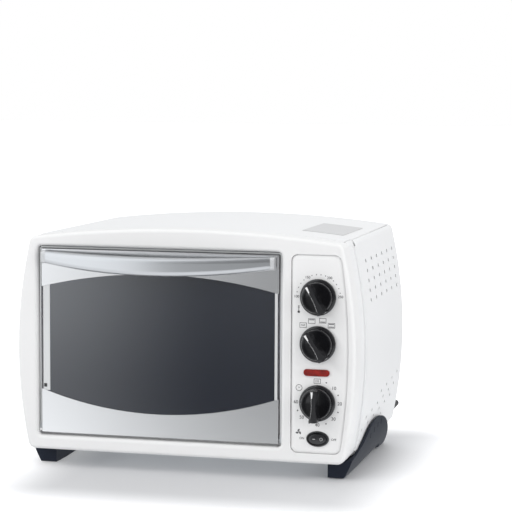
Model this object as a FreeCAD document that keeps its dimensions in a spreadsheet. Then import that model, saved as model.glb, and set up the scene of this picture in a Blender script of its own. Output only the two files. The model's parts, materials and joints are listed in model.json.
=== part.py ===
"""Convection toaster oven, a parametric assembly in millimetres.

+X is to the right, +Y to the rear and +Z up. The origin lies on the table under the middle of
the oven, from its handle to its rear bumpers. Every size is a cell of the sheet below, and every
piece is bound to those cells.
"""
import FreeCAD, Part
import math
import os
import Sketcher

from FreeCAD import Placement, Rotation, Vector

# Sizes in millimetres, angles in degrees. Depths are counted back from the door's front face.
SIZES = {
    # The whole body
    "BodyDepth": 300, "BaseHeight": 22, "BezelProud": 5, "BezelBack": 24,
    "BezelHalfWidth": 207, "SideMidHeight": 144, "SideArcRadius": 560, "RoofEdge": 279,
    "RoofRise": 12, "RimCornerReach": 6, "RimCornerDrop": 7.5, "RimCornerCut": 1.6,
    "RimCornerFall": 2.2, "RoofCornerReach": 2.5, "RoofCornerDrop": 7, "RoofCornerCut": 0.35,
    "RoofCornerFall": 3, "FootCornerReach": 8, "FootCornerCut": 1.8, "FootCornerRise": 2.2,
    "SheetGauge": 1, "JoinGap": 0.4, "RimRound": 4.2, "CutSpare": 20,
    # Door opening and front bezel: insets from the body's outline
    "OpeningLeftInset": 25, "OpeningRightInset": 88, "OpeningStand": 16.8, "OpeningDrop": 11.5,
    "OpeningRound": 5, "BezelWall": 2.5, "BezelFace": 5, "LipRound": 4.2,
    # Control panel: insets from the body's outline
    "PanelLeftInset": 76.5, "PanelEdgeInset": 17.5, "PanelBowInset": 8, "PanelStand": 12,
    "PanelDrop": 13, "PanelRound": 8, "PanelThick": 3, "PanelRecess": 0.8, "PanelLedge": 5,
    # Side panels
    "FlangeEnd": 48, "StepEnd": 54, "SideStepOut": 2, "RearHalfWidth": 204.7, "SideReturn": 9,
    "PanelSeam": 0.6, "PunchReach": 30, "SlotLong": 5.5, "SlotHigh": 4, "SlotColumns": 6,
    "SlotPitch": 35, "SlotRows": 5, "SlotRowPitch": 11.7, "SlotFirst": 95, "SlotDrop": 28,
    "LowSlotRise": 61, "LowSlotFirst": 65, "LowSlotDrop": 11, "LowSlotSlope": 0.085,
    "LowSlotLong": 5, "LowSlotHigh": 3.4,
    # Legs: insets from the body's widest place, and depths from its front or its back
    "LegInset": 40, "LegFootInset": 21, "LegWaistInset": 10, "LegTopInset": 4, "LegRise": 32.5,
    "LegWaistHeight": 24, "LegFront": 24, "LegFrontFoot": 60, "LegArchPeak": 88,
    "LegArchRise": 10, "LegRearFoot": 74, "LegRear": 38, "LegCrest": 128, "LegShoulder": 96,
    "LegTailLong": 45, "LegTailIn": 17, "LegSlotLong": 7, "LegSlotWide": 2, "LegSlotDeep": 9,
    "LegSlotFirst": 110.5, "LegSlotPitch": 18.8, "LegSlotHeight": 37.1, "LegSlotClimb": 5.3,
    "LegSlotBend": 0.85, "LegSlotLean": 1.6, "LegSlots": 4,
    # Pads, rear bumpers and screws
    "PadRadius": 8, "PadDepth": 1.2, "BumperRadius": 5.5, "BumperTaper": 0.75,
    "BumperLength": 45, "BumperRise": 17, "BumperInset": 16.7, "ScrewRadius": 3,
    "ScrewHead": 1.8, "ScrewShank": 1.5,
    # Back plate and floor plate
    "BackGauge": 1.5, "ScrewInset": 13, "ScrewLong": 6, "VentSpan": 300, "VentRise": 9,
    "VentRowPitch": 12, "VentRows": 6, "VentLong": 24, "VentHigh": 4, "VentColumns": 9,
    "FloorVentInset": 40,
    # Oven cavity: insets from the door opening
    "CavityLeftInset": 10, "CavityRightInset": 11, "CavityStand": 38, "CavityDrop": 7.5,
    "CavityFront": 12, "CavityBackInset": 18, "FlangeGauge": 1, "DropInset": 30,
    "DropPitch": 70, "DropRows": 4, "DropLong": 18, "DropWide": 3, "DropColumns": 9,
    "RunnerRise": 44, "RunnerWide": 7, "RunnerThick": 2, "RunnerGap": 112, "RunnerLevels": 2,
    "RunnerSetBack": 5, "SlideGap": 0.3, "RailGauge": 1.5, "RailStand": 3, "RailLedge": 12,
    "SpacerRadius": 4, "SpacerInset": 30,
    # Heaters
    "HeaterRadius": 4, "HeaterDrop": 20, "HeaterStand": 15, "HeaterFront": 85,
    "HeaterPitch": 120, "HeaterStub": 4, "InsulatorRadius": 8, "InsulatorLong": 10,
    # Convection fan
    "FanSetBack": 13, "FanRise": 5, "FanRadius": 38, "FanRoom": 6, "FanHub": 7,
    "BladeThick": 1, "BladeDeep": 10, "FanBlades": 6, "GuardRadius": 46, "GuardSeat": 4,
    "GuardThick": 1.5, "GuardHole": 3.4, "GuardPitch": 10, "GuardRows": 7, "HousingDeep": 18,
    "HousingLip": 6, "WheelRoom": 2, "ShaftRadius": 2.5, "ShaftRoom": 1, "ShaftEnd": 1,
    "MotorRadius": 24, "MotorLong": 26, "ImpellerRadius": 26, "ImpellerLong": 9,
    "BracketWide": 60, "BracketThick": 1.5, "BracketStand": 3.5, "ShieldStand": 19.5,
    "ShieldFront": 30, "ShieldRise": 2, "ShieldFoot": 12,
    # Crumb tray
    "CrumbStand": 26, "CrumbDeep": 8, "CrumbInset": 12, "CrumbFront": 20, "CrumbLip": 9,
    "CrumbGrip": 140,
    # Door
    "DoorGap": 4, "DoorSill": 3.6, "PanelGauge": 1.2, "SheetLap": 5, "GlassThick": 4,
    "UpperSheetEnd": 45.2, "UpperSheetMid": 27, "LowerSheetEnd": 52.6, "LowerSheetMid": 27.4,
    "TintLeftInset": 10, "TintRightInset": 5, "TintInsetLow": 12, "TintInsetTop": 20,
    "InnerGlassThick": 3, "HingeRise": 4, "HingeDepth": 5.2, "PinRadius": 2, "FoldDeep": 9,
    "HingePlate": 2.4, "HingePlateFront": 1.5, "HingePlateLow": 3.4, "HingePlateHigh": 6.6,
    # Handle
    "HandleInset": 1.5, "HandleSetIn": 3.5, "HandleEndDrop": 15.5, "HandleMidDrop": 24.5,
    "HandleTopSag": 3, "HandleEndOut": 11, "HandleMidOut": 34, "HandleEndThick": 9.5,
    "HandleMidThick": 15, "HandleCap": 5, "HandleCapRound": 4.5, "HandleRound": 6,
    "HandleRearRound": 2, "HandleSpare": 2, "StandoffRadius": 4.5, "StandoffInset": 16,
    "StandoffBite": 3, "HandleScrew": 2, "HandleScrewHead": 4, "HandleScrewLong": 8,
    # Rack and baking tray
    "RackWire": 1.5, "RackFrame": 2.5, "RackInset": 3, "RackBars": 17, "RackCross": 3,
    "RackFrontInset": 12, "RackBackInset": 14, "TrayWall": 1.2, "TrayDeep": 16,
    "TrayInset": 16, "TrayRibs": 9, "TrayRim": 7, "TrayRound": 10, "TrayRibInset": 30,
    "TrayRibHigh": 1.5, "TrayRibWide": 9,
    # Controls: insets from the body's side, and shares of the panel's height
    "KnobInset": 44, "LampInset": 45.4, "RockerInset": 43.8, "TempPlace": 0.7888,
    "ModePlace": 0.5539, "LampPlace": 0.4095, "TimerPlace": 0.2578, "RockerPlace": 0.0759,
    # Knobs and what stands behind them
    "KnobRadius": 21.2, "KnobCap": 17.5, "KnobSkirt": 5, "KnobTall": 24, "KnobFace": 14,
    "KnobGap": 1, "KnobBevel": 1.2, "GripTip": 4, "GripTail": 6.5, "GripWaist": 3,
    "TempAngle": 118, "ModeAngle": 124, "TimerAngle": 90, "MarkerWide": 1.4,
    "MarkerLong": 13, "MarkerDeep": 0.4, "MarkerInset": 1.5, "KnobShaft": 3, "KnobBore": 11,
    "ShaftSeat": 10, "RunningGap": 0.05, "ThermostatWide": 34, "ThermostatTall": 30,
    "ThermostatDeep": 24, "SelectorRadius": 17, "SelectorDeep": 20, "TimerWide": 52,
    "TimerTall": 50, "TimerDeep": 28, "BellRadius": 19, "BellDeep": 8, "BulbStand": 5,
    "BulbDrop": 33, "BulbFront": 60, "BulbRadius": 2.5, "BulbLong": 90,
    # Pilot lamp and fan switch
    "LampLong": 31, "LampHigh": 8, "LampProud": 1.6, "LampFlange": 3, "LampDeep": 12,
    "LampBulb": 3, "RockerLong": 27, "RockerHigh": 18.4, "RockerRim": 3, "RockerProud": 2,
    "RockerDeep": 14, "RockerPivot": 1, "RockerPin": 1, "RockerRoom": 0.8, "RockerRise": 4,
    "RockerSink": 5, "RockerTilt": 6,
    # Mains parts
    "GlandInset": 54.7, "GlandRise": 48, "GlandRadius": 7, "GlandBore": 3.5,
    "GlandFlange": 2.5, "GlandLong": 10, "BlockLong": 28, "BlockHigh": 14, "BlockDeep": 16,
    "BlockInset": 50, "FuseInset": 48, "FuseRadius": 3, "FuseLong": 22,
}

doc = FreeCAD.newDocument("toaster_oven")
sheet = doc.addObject("Spreadsheet::Sheet", "Sizes")
for row, (alias, number) in enumerate(SIZES.items(), start=1):
    sheet.set("A%d" % row, alias)
    sheet.set("B%d" % row, str(number))
    sheet.setAlias("B%d" % row, alias)
doc.recompute()


class Size:
    """A length that carries its number and the formula over the sheet's cells that gives it."""

    def __init__(self, number, formula):
        self.number = float(number)
        self.formula = formula

    def __float__(self):
        return self.number

    def __add__(self, other):
        other = size(other)
        return Size(self.number + other.number, "(%s + %s)" % (self.formula, other.formula))

    def __sub__(self, other):
        other = size(other)
        return Size(self.number - other.number, "(%s - %s)" % (self.formula, other.formula))

    def __mul__(self, other):
        other = size(other)
        return Size(self.number * other.number, "(%s * %s)" % (self.formula, other.formula))

    def __truediv__(self, other):
        other = size(other)
        return Size(self.number / other.number, "(%s / %s)" % (self.formula, other.formula))

    def __neg__(self):
        return Size(-self.number, "(0 - %s)" % self.formula)

    __radd__ = __add__
    __rmul__ = __mul__

    def __rsub__(self, other):
        return size(other) - self


def size(value):
    return value if isinstance(value, Size) else Size(value, repr(float(value)))


def root(value):
    return Size(math.sqrt(value.number), "sqrt(%s)" % value.formula)


def cell(alias):
    return Size(sheet.get(alias), "Sizes." + alias)


def mean(first, second):
    return (first + second) / 2


def larger(first, second):
    return (first + second + root((first - second) * (first - second))) / 2


def smaller(first, second):
    return (first + second - root((first - second) * (first - second))) / 2


cells = {alias: cell(alias) for alias in SIZES}


def bind(thing, name, value):
    """Give a property its number now and the formula that keeps it."""
    thing.setExpression(name, size(value).formula)


made = []


def keep(piece, label):
    """Name a finished piece; its label is also its file's name."""
    piece.Label = label
    made.append(piece)
    return piece


def new_body(label):
    return keep(doc.addObject("PartDesign::Body", label), label)


AWAY = {"XY_Plane": 1, "YZ_Plane": 1, "XZ_Plane": -1}


def new_sketch(body, role, place, turn=None):
    """A sketch on one of the body's own planes, moved along that plane's world axis.

    A turn, in degrees, swings it about its own upright axis.
    """
    sketch = body.newObject("Sketcher::SketchObject", body.Label + "_sketch")
    plane = next(f for f in body.Origin.OriginFeatures if f.Role == role)
    sketch.AttachmentSupport = [(plane, "")]
    sketch.MapMode = "FlatFace"
    offset = size(place) * AWAY[role]
    swing = Rotation() if turn is None else Rotation(Vector(0, 1, 0), float(turn))
    sketch.AttachmentOffset = Placement(Vector(0, 0, float(offset)), swing)
    bind(sketch, "AttachmentOffset.Base.z", offset)
    if turn is not None:
        bind(sketch, "AttachmentOffset.Rotation.Angle", turn)
    return sketch


def distance(a, b):
    dx = size(a[0]) - b[0]
    dy = size(a[1]) - b[1]
    return root(dx * dx + dy * dy)


def arc_radius(a, through, b):
    """Radius of the circle through three points."""
    cross = ((size(through[0]) - a[0]) * (size(b[1]) - a[1])
             - (size(through[1]) - a[1]) * (size(b[0]) - a[0]))
    return distance(a, through) * distance(through, b) * distance(b, a) / root(cross * cross) / 2


def settle(sketch, rules):
    """Add all of an outline's constraints at once, then tie the measured ones to the sheet."""
    count = sketch.ConstraintCount
    sketch.addConstraint([rule for rule, value in rules])
    for index, (rule, value) in enumerate(rules, start=count):
        if value is not None:
            bind(sketch, "Constraints[%d]" % index, value)


def fixed(geometry, end, x, y):
    """Two measured distances that fix a point from the sketch's origin."""
    return [(Sketcher.Constraint(kind, -1, 1, geometry, end, float(value)), value)
            for kind, value in (("DistanceX", x), ("DistanceY", y))]


def draw(sketch, start, *steps):
    """A closed outline. A step is (x, y) for a line or (x, y, x_through, y_through) for an arc."""
    rules = []
    joints = []
    here = start
    for step in steps:
        a = Vector(float(here[0]), float(here[1]), 0)
        b = Vector(float(step[0]), float(step[1]), 0)
        if len(step) == 4:
            through = Vector(float(step[2]), float(step[3]), 0)
            anticlockwise = (through - a).cross(b - a).z > 0
            first = 1 if anticlockwise else 2
            arc = Part.Arc(a, through, b) if anticlockwise else Part.Arc(b, through, a)
            edge = sketch.addGeometry(arc, False)
            radius = arc_radius(here, step[2:], step)
            rules.append((Sketcher.Constraint("Radius", edge, float(radius)), radius))
        else:
            edge = sketch.addGeometry(Part.LineSegment(a, b), False)
            first = 1
        joints.append((edge, first))
        rules += fixed(edge, first, here[0], here[1])
        here = step
    for (edge, first), (follower, start_end) in zip(joints, joints[1:] + joints[:1]):
        rules.append((Sketcher.Constraint("Coincident", edge, 3 - first, follower, start_end), None))
    settle(sketch, rules)


def box(sketch, x0, y0, x1, y1):
    draw(sketch, (x0, y0), (x1, y0), (x1, y1), (x0, y1), (x0, y0))


def rounded(sketch, x0, y0, x1, y1, r):
    """A rectangle with round corners of radius r."""
    k = r * (1 - math.sqrt(0.5))
    draw(sketch, (x0 + r, y0), (x1 - r, y0), (x1, y0 + r, x1 - k, y0 + k), (x1, y1 - r),
         (x1 - r, y1, x1 - k, y1 - k), (x0 + r, y1), (x0, y1 - r, x0 + k, y1 - k),
         (x0, y0 + r), (x0 + r, y0, x0 + k, y0 + k))


def lozenge(sketch, x, y, long, high):
    """A slot with round ends, its long way along the sketch's own X."""
    x, y, radius = size(x), size(y), size(high) / 2
    half = size(long) / 2 - radius
    low, top = Vector(0, -float(radius), 0), Vector(0, float(radius), 0)
    ends = []
    for way in (1, -1):
        centre = Vector(float(x + half * way), float(y), 0)
        tip = Vector(way * float(radius), 0, 0)
        arc = Part.Arc(centre + low * way, centre + tip, centre + top * way)
        ends.append((sketch.addGeometry(arc, False), centre, x + half * way))
    (right, right_centre, right_x), (left, left_centre, left_x) = ends
    upper = sketch.addGeometry(Part.LineSegment(right_centre + top, left_centre + top), False)
    lower = sketch.addGeometry(Part.LineSegment(left_centre + low, right_centre + low), False)
    rules = fixed(right, 3, right_x, y) + fixed(left, 3, left_x, y)
    for edge in (right, left):
        rules.append((Sketcher.Constraint("Radius", edge, float(radius)), radius))
    for pair in ((right, 2, upper, 1), (upper, 2, left, 1), (left, 2, lower, 1),
                 (lower, 2, right, 1)):
        rules.append((Sketcher.Constraint("Tangent", *pair), None))
    settle(sketch, rules)


def ring(sketch, x, y, radius):
    circle = Part.Circle(Vector(float(x), float(y), 0), Vector(0, 0, 1), float(radius))
    edge = sketch.addGeometry(circle, False)
    rules = fixed(edge, 3, x, y)
    rules.append((Sketcher.Constraint("Radius", edge, float(radius)), radius))
    settle(sketch, rules)


def slab(body, role, low, high, *drawings, cut=False, turn=None):
    """Fill, or cut away, what lies between two places along the plane's axis."""
    backwards = role == "XZ_Plane"
    place = low if cut == backwards else high
    sketch = new_sketch(body, role, place, turn)
    for shape, *numbers in drawings:
        shape(sketch, *numbers)
    kind = "PartDesign::Pocket" if cut else "PartDesign::Pad"
    feature = body.newObject(kind, body.Label + "_slab")
    feature.Profile = sketch
    bind(feature, "Length", size(high) - size(low))
    body.Tip = feature
    return feature


def turned(body, role, *steps, cut=False):
    """A profile turned a full circle about its sketch's own X axis."""
    sketch = new_sketch(body, role, 0)
    draw(sketch, *steps)
    kind = "PartDesign::Groove" if cut else "PartDesign::Revolution"
    feature = body.newObject(kind, body.Label + "_turned")
    feature.Profile = sketch
    feature.ReferenceAxis = (sketch, ["H_Axis"])
    feature.Angle = 360
    body.Tip = feature
    return feature


def soften(body, radius, chosen, kind="Fillet"):
    """Round the edges of the body's tip that a test picks."""
    doc.recompute()
    base = body.Tip
    names = ["Edge%d" % (i + 1) for i, edge in enumerate(base.Shape.Edges) if chosen(edge)]
    feature = body.newObject("PartDesign::" + kind, body.Label + "_round")
    feature.Base = (base, names)
    bind(feature, "Radius" if kind == "Fillet" else "Size", radius)
    body.Tip = feature
    return feature


def repeat(body, feature, sketch_axis, length, count):
    """Copies of one feature in a straight line."""
    pattern = body.newObject("PartDesign::LinearPattern", body.Label + "_row")
    pattern.Originals = [feature]
    pattern.Direction = (feature.Profile[0], [sketch_axis])
    bind(pattern, "Length", length)
    bind(pattern, "Occurrences", count)
    body.Tip = pattern
    return pattern


def spread(body, feature, axis, count):
    """Copies of one feature about an axis."""
    pattern = body.newObject("PartDesign::PolarPattern", body.Label + "_polar")
    pattern.Originals = [feature]
    pattern.Axis = (feature.Profile[0], [axis])
    pattern.Angle = 360
    bind(pattern, "Occurrences", count)
    body.Tip = pattern
    return pattern


def place(piece, x, y, z):
    """Set a piece down at a bound point."""
    piece.Placement = Placement(Vector(float(x), float(y), float(z)), piece.Placement.Rotation)
    for name, value in (("x", x), ("y", y), ("z", z)):
        bind(piece, "Placement.Base." + name, value)


def cylinder(name, radius, length, x, y, z, along="Z"):
    """A bound cylinder that starts at a point and runs along a world axis."""
    rod = doc.addObject("Part::Cylinder", name)
    bind(rod, "Radius", radius)
    bind(rod, "Height", length)
    turn = {"X": Rotation(Vector(0, 1, 0), 90), "Y": Rotation(Vector(1, 0, 0), -90),
            "Z": Rotation()}[along]
    rod.Placement = Placement(Vector(), turn)
    place(rod, x, y, z)
    return rod


def brick(name, x0, y0, z0, x1, y1, z1):
    """A bound block between two corners."""
    block = doc.addObject("Part::Box", name)
    bind(block, "Length", size(x1) - size(x0))
    bind(block, "Width", size(y1) - size(y0))
    bind(block, "Height", size(z1) - size(z0))
    place(block, x0, y0, z0)
    return block


def group(label, pieces):
    """Alike loose pieces kept as one node of separate solids."""
    compound = doc.addObject("Part::Compound", label)
    compound.Links = pieces
    return keep(compound, label)


def fuse(name, pieces):
    joined = doc.addObject("Part::MultiFuse", name)
    joined.Shapes = pieces
    return joined


def cut_away(name, base, tool):
    left = doc.addObject("Part::Cut", name)
    left.Base = base
    left.Tool = tool
    return left


# Places that several pieces share
front = (cells["HandleMidOut"] - cells["BodyDepth"] - cells["BumperLength"]) / 2
gauge = cells["SheetGauge"]
gap = cells["JoinGap"]
spare = cells["CutSpare"]
mid_height = cells["SideMidHeight"]
base_z = cells["BaseHeight"]
roof_edge = cells["RoofEdge"]
roof_apex = roof_edge + cells["RoofRise"]
half = cells["BezelHalfWidth"]
rear_half = cells["RearHalfWidth"]
widest = larger(half + cells["SideStepOut"], rear_half)
narrowest = smaller(half, rear_half)
bezel_face = front - cells["BezelProud"]
bezel_back = front + cells["BezelBack"]
step_end = front + cells["StepEnd"]
body_back = front + cells["BodyDepth"]

# Places on the front frame
opening_left = cells["OpeningLeftInset"] - half
opening_right = half - cells["OpeningRightInset"]
opening_low = base_z + cells["OpeningStand"]
opening_top = roof_edge - cells["OpeningDrop"]
panel_low = base_z + cells["PanelStand"]
panel_top = roof_edge - cells["PanelDrop"]
panel_face = bezel_face + cells["PanelRecess"]
panel_back = panel_face + cells["PanelThick"]
knob_x = half - cells["KnobInset"]
lamp_x = half - cells["LampInset"]
rocker_x = half - cells["RockerInset"]


def up_panel(share):
    """Height of a control at its share of the control panel's height."""
    return panel_low + (panel_top - panel_low) * cells[share]


temp_z, mode_z, timer_z = up_panel("TempPlace"), up_panel("ModePlace"), up_panel("TimerPlace")
lamp_z, rocker_z = up_panel("LampPlace"), up_panel("RockerPlace")


def side_x(half_width, z):
    """How far out the bulging side stands at a height."""
    arc = cells["SideArcRadius"]
    rise = z - mid_height
    return half_width - arc + root(arc * arc - rise * rise)


def shell_points(half_width, inset, corner="Roof"):
    """Corner points of the body's right half seen from the front, drawn in by an inset."""
    wide = half_width - inset
    edge = roof_edge - inset
    low = base_z + inset
    shoulder = edge - cells[corner + "CornerDrop"]
    bend = edge - cells[corner + "CornerFall"]
    hip = low + cells["FootCornerReach"]
    return {
        "roof": (side_x(wide, edge) - cells[corner + "CornerReach"], edge),
        "roof_round": (side_x(wide, bend) - cells[corner + "CornerCut"], bend),
        "shoulder": (side_x(wide, shoulder), shoulder),
        "waist": (wide, mid_height),
        "hip": (side_x(wide, hip), hip),
        "foot_round": (side_x(wide, low) - cells["FootCornerCut"],
                       low + cells["FootCornerRise"]),
        "foot": (side_x(wide, low) - cells["FootCornerReach"], low),
        "apex": roof_apex - inset,
    }


def shell(sketch, half_width, inset, corner="Roof"):
    """The whole outline of the body seen from the front."""
    p = shell_points(size(half_width), size(inset), corner)

    def left(name):
        return -p[name][0], p[name][1]

    draw(sketch, left("roof"),
         (*p["roof"], 0, p["apex"]),
         (*p["shoulder"], *p["roof_round"]),
         (*p["hip"], *p["waist"]),
         (*p["foot"], *p["foot_round"]),
         left("foot"),
         (*left("hip"), *left("foot_round")),
         (*left("shoulder"), *left("waist")),
         (*left("roof"), *left("roof_round")))


def panel_outline(sketch, inset):
    """The control panel: square on its left, bowed like the body on its right."""
    left = half - cells["PanelLeftInset"] + inset
    low, top = panel_low + inset, panel_top - inset
    edge = half - cells["PanelEdgeInset"] - inset
    bow = half - cells["PanelBowInset"] - inset
    r = cells["PanelRound"] - inset
    k = r * (1 - math.sqrt(0.5))
    lean = r * 0.2
    draw(sketch, (left + r, low), (edge - r, low),
         (edge + lean, low + r, edge - k + lean / 2, low + k),
         (edge + lean, top - r, bow, mean(low, top)),
         (edge - r, top, edge - k + lean / 2, top - k), (left + r, top),
         (left, top - r, left + k, top - k), (left, low + r), (left + r, low, left + k, low + k))


def faces_front(edge, plane_y):
    """Whether an edge lies flat in the plane y = plane_y."""
    bounds = edge.BoundBox
    return abs(bounds.YMin - plane_y) < 1e-4 and abs(bounds.YMax - plane_y) < 1e-4


def front_bezel():
    """Moulded front frame with a return lip round the door opening."""
    body = new_body("front_bezel")
    slab(body, "XZ_Plane", bezel_face, bezel_back, (shell, half, 0, "Rim"))
    soften(body, cells["RimRound"], lambda e: faces_front(e, float(bezel_face)))
    x0, x1, z0, z1 = opening_left, opening_right, opening_low, opening_top
    r = cells["OpeningRound"]
    wall = cells["BezelWall"]
    slab(body, "XZ_Plane", bezel_face, bezel_back, (rounded, x0, z0, x1, z1, r), cut=True)
    slab(body, "XZ_Plane", bezel_face + cells["BezelFace"], bezel_back,
         (shell, half, wall, "Rim"),
         (rounded, x0 - wall, z0 - wall, x1 + wall, z1 + wall, r + wall), cut=True)
    slab(body, "XZ_Plane", bezel_face, panel_back, (panel_outline, size(0)), cut=True)
    slab(body, "XZ_Plane", bezel_face, bezel_face + cells["BezelFace"],
         (panel_outline, cells["PanelLedge"]), cut=True)

    def opening_rim(edge):
        b = edge.BoundBox
        inside = b.XMax < float(x1) + 0.1 and b.XMin > float(x0) - 0.1
        return inside and faces_front(edge, float(bezel_face)) and b.ZMin > float(z0) - 0.1

    soften(body, cells["LipRound"], opening_rim)


def control_panel():
    """Plate that carries the knobs, the pilot lamp and the fan switch."""
    body = new_body("control_panel")
    slab(body, "XZ_Plane", panel_face, panel_back, (panel_outline, gap))
    soften(body, cells["PanelThick"] / 3, lambda e: faces_front(e, float(panel_face)))
    hole = cells["KnobShaft"] + cells["RunningGap"] * 10
    rim = cells["RockerRim"]
    slab(body, "XZ_Plane", panel_face, panel_back,
         *[(ring, knob_x, z, hole) for z in (temp_z, mode_z, timer_z)],
         (lozenge, lamp_x, lamp_z, cells["LampLong"], cells["LampHigh"]),
         (lozenge, rocker_x, rocker_z, cells["RockerLong"] - rim, cells["RockerHigh"] - rim),
         cut=True)


def top_cover():
    """Arched roof sheet between the two side panels."""
    body = new_body("top_cover")

    def arch(sketch):
        p = shell_points(half + cells["SideStepOut"], size(0))
        x, z = p["roof"]
        draw(sketch, (-x, z), (x, z, 0, p["apex"]), (x, z - gauge),
             (-x, z - gauge, 0, p["apex"] - gauge), (-x, z))

    slab(body, "XZ_Plane", bezel_back, body_back, (arch,))
    seam = gap + gauge
    front_x = shell_points(half - gap, size(0))["roof"][0] - seam
    rear_x = shell_points(rear_half, size(0))["roof"][0] - seam
    out = widest + spare

    def trim(sketch, side):
        draw(sketch, (side * front_x, bezel_back - gauge), (side * out, bezel_back - gauge),
             (side * out, body_back + gauge), (side * rear_x, body_back + gauge),
             (side * (front_x + cells["SideStepOut"]), step_end + cells["PanelSeam"]),
             (side * front_x, step_end), (side * front_x, bezel_back - gauge))

    slab(body, "XY_Plane", roof_edge - spare, roof_apex + spare, (trim, 1), (trim, -1), cut=True)


def side_section(sketch, side, half_width):
    """The bent sheet of one side: round shoulder, bulging wall, round hip and a turned-in foot."""
    names = ("roof", "roof_round", "shoulder", "waist", "hip", "foot_round", "foot")
    outer = shell_points(half_width, size(0))
    inner = shell_points(half_width, gauge)
    turn_in = side * (outer["foot"][0] - cells["SideReturn"])
    roof, roof_round, shoulder, waist, hip, foot_round, foot = [
        (side * outer[n][0], outer[n][1]) for n in names]
    roof_i, roof_round_i, shoulder_i, waist_i, hip_i, foot_round_i, foot_i = [
        (side * inner[n][0], inner[n][1]) for n in names]
    draw(sketch, roof, (*shoulder, *roof_round), (*hip, *waist), (*foot, *foot_round),
         (turn_in, foot[1]), (turn_in, foot_i[1]), foot_i,
         (*hip_i, *foot_round_i), (*shoulder_i, *waist_i), (*roof_i, *roof_round_i), roof)


def side_band(side):
    """Flat band between the bezel and the side panel, with the step that the panel starts from."""
    body = doc.addObject("PartDesign::Body", "side_band")
    wide = half - gap
    full = wide + cells["SideStepOut"]
    slab(body, "XZ_Plane", bezel_back, step_end, (side_section, side, wide))

    def ridge(sketch):
        outer = shell_points(full, size(0))
        shoulder, waist, hip = [(side * outer[n][0], outer[n][1])
                                for n in ("shoulder", "waist", "hip")]
        sink = side * (cells["SideStepOut"] + gauge / 2)
        draw(sketch, shoulder, (*hip, *waist), (hip[0] - sink, hip[1]),
             (shoulder[0] - sink, shoulder[1], waist[0] - sink, waist[1]), shoulder)

    slab(body, "XZ_Plane", front + cells["FlangeEnd"], step_end, (ridge,))
    return body


# The slanted groups of low slots: line by line, the first column and how many
LOW_SLOTS = ((3, 4), (0.5, 6), (0, 6), (3.5, 1))


def side_panel(label, side):
    """Long side sheet that narrows to the rear, with its two groups of vent slots."""
    body = doc.addObject("PartDesign::Body", label + "_sheet")
    full = half - gap + cells["SideStepOut"]
    narrowing = (full - rear_half) / (cells["BodyDepth"] - cells["StepEnd"])
    start = step_end + cells["PanelSeam"] - full * narrowing
    rear = body_back - rear_half * narrowing
    slab(body, "XZ_Plane", start, rear, (side_section, side, rear_half),
         turn=narrowing * (side * 180 / math.pi))
    inner, outer = narrowest - cells["PunchReach"], widest + cells["PunchReach"]
    low, high = (inner, outer) if side > 0 else (-outer, -inner)
    holes = []

    def punch(along, z, long, tall):
        y = front + along - long / 2
        holes.append(brick(label + "_slot", low, y, z - tall / 2, high, y + long, z + tall / 2))

    pitch = cells["SlotPitch"]
    for column in range(SIZES["SlotColumns"]):
        for line in range(SIZES["SlotRows"]):
            punch(cells["SlotFirst"] + pitch * column,
                  roof_edge - cells["SlotDrop"] - cells["SlotRowPitch"] * line,
                  cells["SlotLong"], cells["SlotHigh"])
    for line, (first, count) in enumerate(LOW_SLOTS):
        for n in range(count):
            along = cells["LowSlotFirst"] + pitch * (first + n)
            z = (base_z + cells["LowSlotRise"] - cells["LowSlotDrop"] * line
                 + (along - cells["LowSlotFirst"] - pitch * 3) * cells["LowSlotSlope"])
            punch(along, z, cells["LowSlotLong"], cells["LowSlotHigh"])
    punches = doc.addObject("Part::Compound", label + "_punches")
    punches.Links = holes
    keep(cut_away(label, body, punches), label)


def rear_screw_places():
    """Where the screws sit along the back plate's two sides."""
    inset = cells["ScrewInset"]
    levels = (base_z + inset * 3, mid_height, roof_edge - inset * 2)
    return [(side_x(rear_half - inset, z) * side, z) for z in levels for side in (-1, 1)]


def rear_panel():
    """Back plate with vents, the cord gland's hole and the crumb tray's slot."""
    body = new_body("rear_panel")
    inner = body_back - cells["BackGauge"]
    slab(body, "XZ_Plane", inner, body_back, (shell, rear_half, gauge + gap))
    fit = gap * 2
    slab(body, "XZ_Plane", inner, body_back,
         (box, crumb_left - fit, crumb_z - fit, crumb_right + fit,
          crumb_z + cells["CrumbDeep"] + fit),
         (ring, gland_x, gland_z, cells["GlandRadius"]),
         *[(ring, x, z, cells["ScrewShank"]) for x, z in rear_screw_places()], cut=True)
    span = cells["VentSpan"]
    vent = slab(body, "XZ_Plane", inner, body_back,
                *[(lozenge, -span / 2, mid_height + cells["VentRise"]
                   + cells["VentRowPitch"] * n, cells["VentLong"], cells["VentHigh"])
                  for n in range(SIZES["VentRows"])], cut=True)
    repeat(body, vent, "H_Axis", span, cells["VentColumns"])


def base_plate():
    """Floor plate of the body, with two rows of vents."""
    body = new_body("base_plate")
    out = side_x(rear_half, base_z) - cells["FootCornerReach"] - cells["SideReturn"] - gap * 2
    slab(body, "XY_Plane", base_z, base_z + gauge,
         (box, -out, bezel_back, out, body_back - cells["BackGauge"]))
    inset = cells["FloorVentInset"]
    vent = slab(body, "XY_Plane", base_z, base_z + gauge,
                *[(lozenge, -out + inset, y, cells["VentLong"], cells["VentHigh"])
                  for y in heater_rows], cut=True)
    repeat(body, vent, "H_Axis", out * 2 - inset * 2, cells["VentColumns"])


# Places on the legs
leg_inner = widest - cells["LegInset"]
leg_foot = widest - cells["LegFootInset"]
leg_outer = widest - cells["LegTopInset"]
leg_front = front + cells["LegFront"]
leg_front_foot = front + cells["LegFrontFoot"]
leg_rear_foot = body_back - cells["LegRearFoot"]
leg_rear = body_back - cells["LegRear"]


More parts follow.
